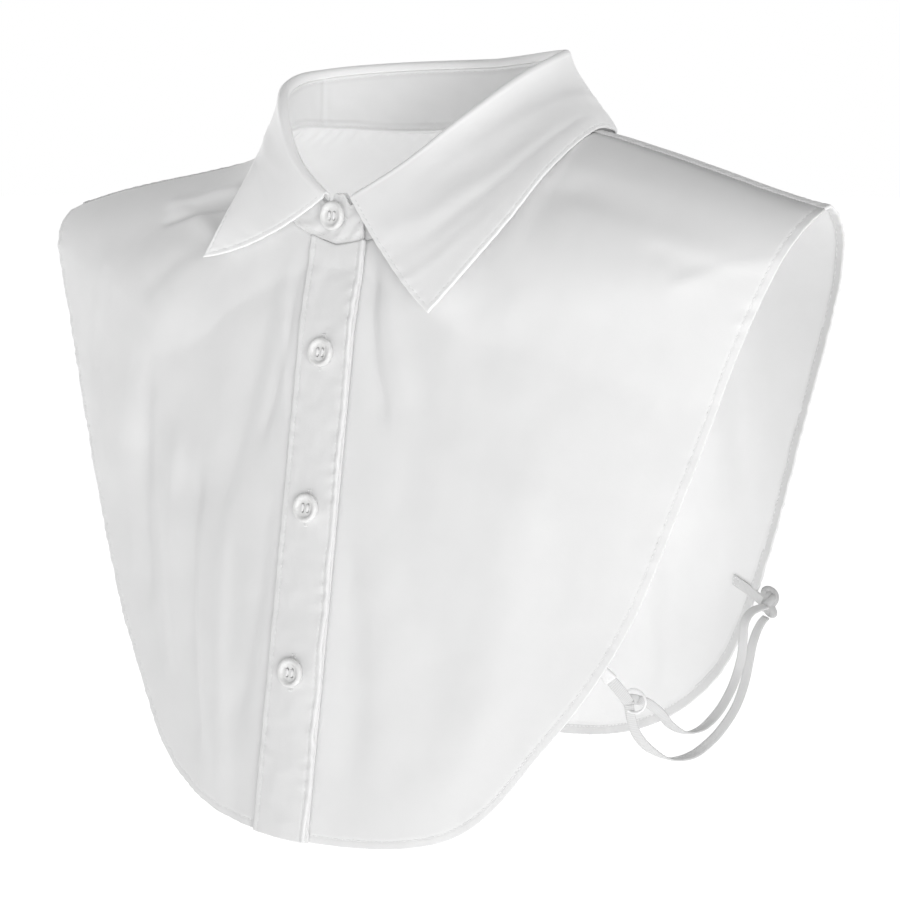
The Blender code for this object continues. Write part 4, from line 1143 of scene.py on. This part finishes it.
def makeFall(name):
    sizes = collarSizes
    columns = closeSpaced(sizes["fallColumns"], 0.46, edgeSteps, start=True)
    run = sizes["fallStart"] + (360.0 - 2 * sizes["fallStart"]) * columns
    angle = np.where(run <= 180.0, run, run - 360.0)
    leg = np.linspace(-1.0, 0.0, 5)[:-1]
    bend = np.linspace(0.0, 1.0, sizes["foldRows"])[:-1]
    long = 1.0 + closeSpaced(sizes["fallRows"], 0.050, edgeSteps)
    stretch = np.concatenate([leg, bend, long])
    a, s = np.meshgrid(angle, stretch, indexing="ij")
    middle = fallPlace(a, s)
    along, down = arcAlong(middle, 0), arcAlong(middle, 1)
    hem = down[:, -1:] - down
    ends = np.minimum(*bothEnds(along))
    t = np.clip(s - 1.0, 0.0, 1.0)
    body = np.sin(np.pi * np.clip(t * 1.15, 0, 1))
    relief = 0.0
    for a1, t1, a2, t2, width, out in fallCreases:
        first = a1 % 360.0 / 60.0
        _, aside, past = fromLine(a % 360.0 / 60.0, t, first, t1, first + (a2 - a1) / 60.0, t2)
        relief = relief + out * np.exp(-((aside / width) ** 2) - (past / 0.25) ** 2)
    relief = relief + sizes["fallSwell"] * crumple(along, down, 6.0, 0.030)
    relief = relief + sizes["fallCrumple"] * crumple(along, down, 8.0, 0.012)
    relief = relief * np.clip(body * 2.0, 0, 1)
    near = np.minimum(ends, hem)
    where = np.where(hem < ends, along, down)
    drawn = bell(near, 0.0018, 0.0028) * np.clip(t * 6, 0, 1)
    relief = relief + sizes["fallPucker"] * waves(where, 0.0072, 1.4) * drawn
    loose = np.clip(t * 3, 0, 1) * fade(-np.abs(a), -60.0, -35.0)
    relief = relief + sizes["fallWave"] * waves(along, 0.062, 2.6) * bell(hem, 0.0, 0.012) * loose
    normals = -gridNormals(middle)
    middle = middle + normals * relief[..., None]
    gap = gapBelow(middle[:, -1], normals[:, -1])[:, None, None]
    middle = middle - normals * (1.0 - fade(t, 0.45, 1.0))[..., None] * gap
    normals = -gridNormals(middle)
    groove = -stitchSizes["collarGroove"] * bell(near, sizes["stitchIn"], 0.0005) * np.clip(t * 6, 0, 1)
    edge = roundEdge(np.minimum(near, down) + hairline, 0.0006)
    outer = (sizes["wall"] / 2 + groove) * edge
    inner = sizes["wall"] / 2 * edge
    piece = makeShell(name, middle, normals, outer, inner, poplinCollarPaintedLight, uvSpin=20.0)
    threads = bmesh.new()
    face = middle + normals * outer[..., None]
    sewLine(threads, face, normals, hem, sizes["stitchIn"], 1, part=slice(8, -8))
    first = len(leg) + len(bend)
    for end in bothEnds(along):
        sewLine(threads, face, normals, end, sizes["stitchIn"], 0, part=slice(first, -8))
    return piece, finishMesh(threads, name + "Thread", threadWhite)


stand, standThread = makeStand("collarStand")
settle(stand, "collar_stand")
settle(standThread, None)
fall, fallThread = makeFall("collarFall")
settle(fall, "collar_fall")
settle(fallThread, None)
print("collar sewn")


# tabs that hold the elastic

tabSizes = {
    "thickness": 0.0009, "seat": 0.00150, "half": 0.0023, "steps": 70, "acrossSteps": 12,
    "backSeat": 0.00095, "backHalf": 0.0024, "stitchPitch": 0.0015, "stitchLength": 0.0012,
    "patch": {"start": 0.30, "end": 0.58, "half": 0.0027, "thickness": 0.0016},
    "loop": {
        "centre": (0.1400, -0.0392, -0.2276), "across": 0.0042, "up": 0.0046,
        "cord": 0.00055, "tilt": 0.0028, "steps": 48,
    },
}
frontTabSeated = {"x": [0.1240, 0.1272, 0.1304], "z": [-0.2046, -0.2082, -0.2118]}
frontTabFree = [(0.1343, -0.0494, -0.2168), (0.1371, -0.0457, -0.2222), (0.1383, -0.0406, -0.2282)]
frontTabAside = {
    "share": [0.0, 0.2, 0.4, 0.6, 0.8, 1.0],
    "x": [0.0021, 0.0021, 0.0021, 0.0013, 0.0011, 0.0016],
    "y": [0.0, 0.0, 0.0, 0.0006, 0.0010, 0.0012],
    "z": [0.0018, 0.0018, 0.0018, 0.0016, 0.0016, 0.0008],
}
backTab = {
    "x": [0.1340, 0.1390, 0.1440, 0.1478, 0.1514, 0.1530],
    "z": [-0.1977, -0.1988, -0.2000, -0.2012, -0.2025, -0.2032],
}


def insidePanel(x, z, side, depth):
    turn = turnAtHeight(x, z, side)
    point = clothPoint(x, turn)
    normal = clothNormal(x, turn)
    relief = panelRelief(point[..., 0], point[..., 2], side)
    return point + normal * (relief - depth)[..., None]


def tapeShell(name, middle, aside, half, thickness, material):
    # flat tape along a line of points, with its width along the given directions
    across = np.linspace(-1.0, 1.0, tabSizes["acrossSteps"] + 1)
    grid = middle[:, None, :] + aside[:, None, :] * across[None, :, None] * half
    normals = gridNormals(grid)
    along = arcAlong(grid, 0)
    ends = np.minimum(*bothEnds(along))
    edge = np.minimum(ends, (1.0 - np.abs(across))[None, :] * half)
    depth = thickness / 2 * roundEdge(edge + 0.00012, 0.0005)
    return makeShell(name, grid, normals, depth, depth, material), grid, normals, depth


def sewBox(name, grid, normals, depth, first, last):
    threads = bmesh.new()
    small = {**stitchSizes, "pitch": tabSizes["stitchPitch"], "length": tabSizes["stitchLength"]}
    for side in (1, -1):
        face, up = grid + normals * (depth * side)[..., None], normals * side
        for column in (first, last):
            addStitches(threads, face[column, 2:-2], up[column, 2:-2], small, skip=0.0001)
        for row in (2, -3):
            addStitches(threads, face[first:last, row], up[first:last, row], small, skip=0.0001)
    return finishMesh(threads, name, threadWhite)


def makeFrontTab(name, mirror):
    sizes = tabSizes
    x, z = (np.array(frontTabSeated[key]) for key in "xz")
    seated = insidePanel(mirror * x, z, "front", sizes["seat"])
    middle = routePoints(np.concatenate([seated, mirrored(frontTabFree, mirror)]), sizes["steps"])
    share = np.linspace(0.0, 1.0, sizes["steps"])
    aside = mirrored(np.stack([smoothRead(frontTabAside, axis, share) for axis in "xyz"], 1), mirror)
    ways = unit(np.gradient(middle, axis=0))
    aside = unit(aside - ways * np.sum(aside * ways, axis=1, keepdims=True))
    tape, _, _, _ = tapeShell(name, middle, aside, sizes["half"], sizes["thickness"], elasticWhite)
    patch = sizes["patch"]
    part = slice(int(patch["start"] * sizes["steps"]), int(patch["end"] * sizes["steps"]))
    middle, aside = middle[part], aside[part]
    sleeve, *laid = tapeShell(name + "Patch", middle, aside, patch["half"], patch["thickness"], tapeWhite)
    threads = sewBox(name + "Thread", *laid, 3, len(middle) - 4)
    return [tape, sleeve, threads, makeLoop(name + "Loop", mirror)]


def makeLoop(name, mirror):
    # thin cloth loop at the tab's end; the elastic turns round in it
    sizes = tabSizes["loop"]
    face = np.array(elasticSizes["face"])
    aside = unit(np.cross(np.array([0.0, 0.0, 1.0]), face))
    t = np.linspace(0.0, 2 * np.pi, sizes["steps"], endpoint=False)[:, None]
    path = np.array(sizes["centre"]) + aside * np.cos(t) * sizes["across"]
    path = path + np.cross(face, aside) * np.sin(t) * sizes["up"] + face * sizes["tilt"] * np.cos(t)
    return roundCord(name, mirrored(path, mirror), sizes["cord"], threadWhite, closed=True)


def makeBackTab(name, mirror):
    sizes = tabSizes
    x, z = (np.array(backTab[key]) for key in "xz")
    middle = routePoints(insidePanel(mirror * x, z, "back", sizes["backSeat"]), sizes["steps"])
    ways = unit(np.gradient(middle, axis=0))
    aside = unit(np.array([0.0, 0.0, 1.0]) - ways * ways[:, 2:3])
    tape, *laid = tapeShell(name, middle, aside, sizes["backHalf"], sizes["thickness"], elasticWhite)
    return [tape, sewBox(name + "Thread", *laid, 3, 16)]


for mirror, side in ((1, "left"), (-1, "right")):
    for place, make in (("front", makeFrontTab), ("back", makeBackTab)):
        node = f"tab_{place}_{side}"
        pieces = make(f"tab{place.capitalize()}{side.capitalize()}", mirror)
        settle(pieces[0], node)
        for extra in pieces[1:]:
            settle(extra, None)
print("tabs sewn")


# buttons: turned with a raised rim and a sunk middle, sewn through four holes

buttonSizes = {
    "radius": 0.00625, "height": 0.0026, "hole": 0.0008, "spacing": 0.0013, "steps": 72,
    "drops": [-0.095, -0.160, -0.229], "gap": 0.0003,
    "standAcross": -0.0020, "standMiddle": 0.555, "standGap": 0.00065, "standHeight": 0.0225,
    "threadLength": 0.0036, "threadWidth": 0.00050, "threadHeight": 0.0010, "threadShift": 0.00030,
}
buttonOutline = {
    "across": [0.0, 0.50, 0.58, 0.64, 0.70, 0.77, 0.86, 0.93, 0.98, 1.0, 0.985, 0.94, 0.88, 0.0],
    "up": [0.55, 0.55, 0.58, 0.72, 0.90, 0.985, 1.0, 0.93, 0.74, 0.50, 0.22, 0.06, 0.0, 0.0],
}


def uprightFrame(normal):
    # axes of a button: its own axis out of the cloth, its second axis up the placket
    normal = Vector(normal).normalized()
    up = (Vector((0.0, 0.0, 1.0)) - normal * normal.z).normalized()
    return Matrix((up.cross(normal), up, normal)).transposed().to_4x4()


def makeButton(name, centre, normal):
    sizes = buttonSizes
    builder = bmesh.new()
    points = []
    for across, up in zip(buttonOutline["across"], buttonOutline["up"]):
        points.append(builder.verts.new((sizes["radius"] * across, 0.0, sizes["height"] * up)))
    edges = [builder.edges.new(pair) for pair in zip(points[:-1], points[1:])]
    bmesh.ops.spin(
        builder, geom=points + edges, cent=(0, 0, 0), axis=(0, 0, 1),
        angle=math.tau, steps=sizes["steps"], use_merge=True,
    )
    bmesh.ops.remove_doubles(builder, verts=builder.verts, dist=1e-6)
    bmesh.ops.recalc_face_normals(builder, faces=builder.faces)
    button = finishMesh(builder, name, resinWhite)
    builder = bmesh.new()
    for x in (-1, 1):
        for y in (-1, 1):
            bmesh.ops.create_cone(
                builder, cap_ends=True, segments=24, radius1=sizes["hole"], radius2=sizes["hole"],
                depth=sizes["height"] * 4,
                matrix=Matrix.Translation((x * sizes["spacing"], y * sizes["spacing"], 0.0)),
            )
    cutter = finishMesh(builder, name + "Cutter", resinWhite)
    cut = button.modifiers.new("holes", "BOOLEAN")
    cut.operation = "DIFFERENCE"
    cut.solver = "EXACT"
    cut.object = cutter
    bpy.context.view_layer.update()
    mesh = bpy.data.meshes.new_from_object(button.evaluated_get(bpy.context.evaluated_depsgraph_get()))
    button.modifiers.clear()
    button.data = mesh
    bpy.data.objects.remove(cutter)
    place = Matrix.Translation(Vector(centre)) @ uprightFrame(normal)
    mesh.transform(place)
    mesh.shade_smooth()
    mesh.set_sharp_from_angle(angle=math.radians(42))
    threads = bmesh.new()
    long, wide, high = (sizes[key] / 2 for key in ("threadLength", "threadWidth", "threadHeight"))
    turn = Matrix(((0, long, 0), (wide, 0, 0), (0, 0, high))).transposed().to_4x4()
    for x in (-1, 1):
        for shift in (-sizes["threadShift"], 0.0, sizes["threadShift"]):
            up = sizes["height"] * 0.55 + 0.00025 - abs(shift) * 0.4
            spot = Matrix.Translation(Vector((x * sizes["spacing"] + shift, 0.0, up)))
            bmesh.ops.create_icosphere(threads, subdivisions=2, radius=1.0, matrix=place @ spot @ turn)
    bmesh.ops.recalc_face_normals(threads, faces=threads.faces)
    return button, finishMesh(threads, name + "Thread", threadWhite)


holeSizes = {
    "length": 0.0150, "rim": 0.0011, "bar": 0.0009, "lipPitch": 0.00042, "barPitch": 0.00036,
    "lipThread": (0.00062, 0.00021, 0.00022), "barThread": (0.00019, 0.0006, 0.00026),
}


def makeButtonhole(name, upright, surface):
    # worked edges of a buttonhole: short threads laid side by side along both lips, a bar at each end
    sizes = holeSizes
    half, bar = sizes["length"] / 2, sizes["bar"]
    places = []
    for side in (-1, 1):
        for step in np.arange(-half, half, sizes["lipPitch"]):
            places.append((side * sizes["rim"] / 2, step, sizes["lipThread"]))
    for end in (-half, half):
        for step in np.arange(-bar, bar + 0.00001, sizes["barPitch"]):
            places.append((step, end, sizes["barThread"]))
    threads = bmesh.new()
    for x, y, (wide, long, high) in places:
        spot, normal = surface(x, y) if upright else surface(y, x)
        turn = Matrix.Diagonal((wide, long, high, 1.0) if upright else (long, wide, high, 1.0))
        place = Matrix.Translation(Vector(spot)) @ uprightFrame(normal) @ turn
        bmesh.ops.create_icosphere(threads, subdivisions=1, radius=1.0, matrix=place)
    return finishMesh(threads, name, threadWhite)


def placketSurface(x, drop):
    # point and direction on the placket's face at a distance across and a height
    turn = turnAtHeight(np.array(x), np.array(drop), "front")
    base = clothPoint(np.array(x), turn)
    normal = clothNormal(np.array(x), turn)
    out = form["panelWall"] / 2 + placketSizes["gap"] + placketSizes["wall"] + form["layerShift"]
    return base + normal * out, normal


for number, drop in enumerate(buttonSizes["drops"], start=1):
    face, normal = placketSurface(0.0, drop)
    button, thread = makeButton(f"button{number}", face + normal * buttonSizes["gap"], normal)
    hole = makeButtonhole(f"buttonhole{number}", True, lambda x, y, drop=drop: placketSurface(x, drop + y))
    settle(button, f"button_{number}")
    settle(thread, None)
    settle(hole, None)


def standSurface(x, y):
    # point and direction on the outside of the stand's right end, at a distance across and up
    sizes = collarSizes
    across = buttonSizes["standAcross"] + x
    angle = sizes["overlap"] + math.degrees(math.asin(across / form["neckHalf"]))
    column = (360.0 + angle) / (360.0 + 2 * sizes["overlap"])
    share = buttonSizes["standMiddle"] + y / buttonSizes["standHeight"]
    steps = ((0, 0), (0.004, 0), (-0.004, 0), (0, 0.1), (0, -0.1))
    places = [standPlace(np.array([column + a]), np.array([share + b]))[0] for a, b in steps]
    normal = np.cross(places[1] - places[2], places[3] - places[4])
    normal = normal / np.linalg.norm(normal)
    return places[0] + normal * sizes["wall"] / 2, normal


face, normal = standSurface(0.0, 0.0)
button, thread = makeButton("buttonStand", face + normal * buttonSizes["standGap"], normal)
hole = makeButtonhole("buttonholeStand", False, standSurface)
settle(button, "button_stand")
settle(thread, None)
settle(hole, None)
print("buttons sewn on")


# floor, light and surroundings

studio = {
    "floor": {"height": -0.62, "size": 100.0, "low": 0.32, "high": 0.35, "glow": 0.89},
    "sky": {"height": [0.0, 0.13, 0.20, 0.50, 1.0], "white": [1.0, 1.0, 0.12, 0.26, 0.66]},
    "shade": {"from": (-0.75, -0.66, 0.0), "start": 0.32, "end": 0.90, "dimmest": 0.46},
}
lamps = {
    "name": ["key", "side", "rear", "inside"],
    "place": [(1.66, -1.40, -0.30), (-1.93, 0.40, 0.20), (0.7, 2.0, 0.2), (0.0, -0.035, -0.15)],
    "aim": [(0.0, 0.0, -0.14), (0.0, 0.0, -0.14), (0.0, 0.0, -0.14), (0.0, 1.0, -0.02)],
    "size": [(1.1, 1.1), (0.9, 1.2), (1.4, 1.2), (0.16, 0.12)],
    "power": [25.0, 21.0, 4.0, 0.064],
}


def makeFloor():
    sizes = studio["floor"]
    builder = bmesh.new()
    bmesh.ops.create_grid(builder, x_segments=2, y_segments=2, size=sizes["size"])
    bmesh.ops.translate(builder, verts=builder.verts, vec=(0, 0, sizes["height"]))
    material, nodes, link, shader = nodeMaterial("floorPale", {
        "Roughness": 0.9, "Emission Color": (1.0, 1.0, 1.0, 1.0), "Emission Strength": sizes["glow"],
    })
    cloud = addNode(nodes, "TexNoise", Scale=2.0)
    tone = addRamp(nodes, grey(sizes["low"]), grey(sizes["high"]))
    link(addNode(nodes, "TexCoord").outputs["Object"], cloud.inputs["Vector"])
    link(cloud.outputs["Fac"], tone.inputs["Fac"])
    link(tone.outputs["Color"], shader["Base Color"])
    finishMesh(builder, "floor", material, smooth=False)


def makeSky():
    # white along the horizon, dimmer above it, so that the cloth keeps its soft shading
    world = bpy.data.worlds.new("studio")
    bpy.context.scene.world = world
    world.use_nodes = True
    nodes, link = world.node_tree.nodes, world.node_tree.links.new
    place = addNode(nodes, "TexCoord").outputs["Generated"]
    split = addNode(nodes, "SeparateXYZ")
    ramp = addNode(nodes, "ValToRGB")
    stops, sky, shade = ramp.color_ramp.elements, studio["sky"], studio["shade"]
    while len(stops) < len(sky["height"]):
        stops.new(0.5)
    for stop, height in zip(stops, sky["height"]):
        stop.position = height
    for stop, white in zip(stops, sky["white"]):
        stop.color = (white, white, white, 1.0)
    link(place, split.inputs["Vector"])
    link(split.outputs["Z"], ramp.inputs["Fac"])
    link(ramp.outputs["Color"], nodes["Background"].inputs["Color"])
    toward = addNode(nodes, "VectorMath")  # a darker wall of the room, at the front left
    toward.operation = "DOT_PRODUCT"
    toward.inputs[1].default_value = shade["from"]
    dimming = addNode(nodes, "MapRange")
    dimming.interpolation_type = "SMOOTHSTEP"
    setInputs(dimming, {
        "From Min": shade["start"], "From Max": shade["end"], "To Min": 1.0, "To Max": shade["dimmest"],
    })
    link(place, toward.inputs[0])
    link(toward.outputs["Value"], dimming.inputs["Value"])
    link(dimming.outputs["Result"], nodes["Background"].inputs["Strength"])


def makeLamp(name, place, aim, size, power):
    data = bpy.data.lights.new(name, "AREA")
    data.shape = "RECTANGLE"
    data.size, data.size_y = size
    data.energy = power
    lamp = addObject(name, data)
    turn = (Vector(aim) - Vector(place)).to_track_quat("-Z", "Y")
    lamp.matrix_world = Matrix.Translation(Vector(place)) @ turn.to_matrix().to_4x4()
    lamp.visible_camera = False


makeFloor()
makeSky()
for lamp in zip(*lamps.values()):
    makeLamp(*lamp)
bpy.context.scene.view_settings.view_transform = "Standard"
print("studio lit")
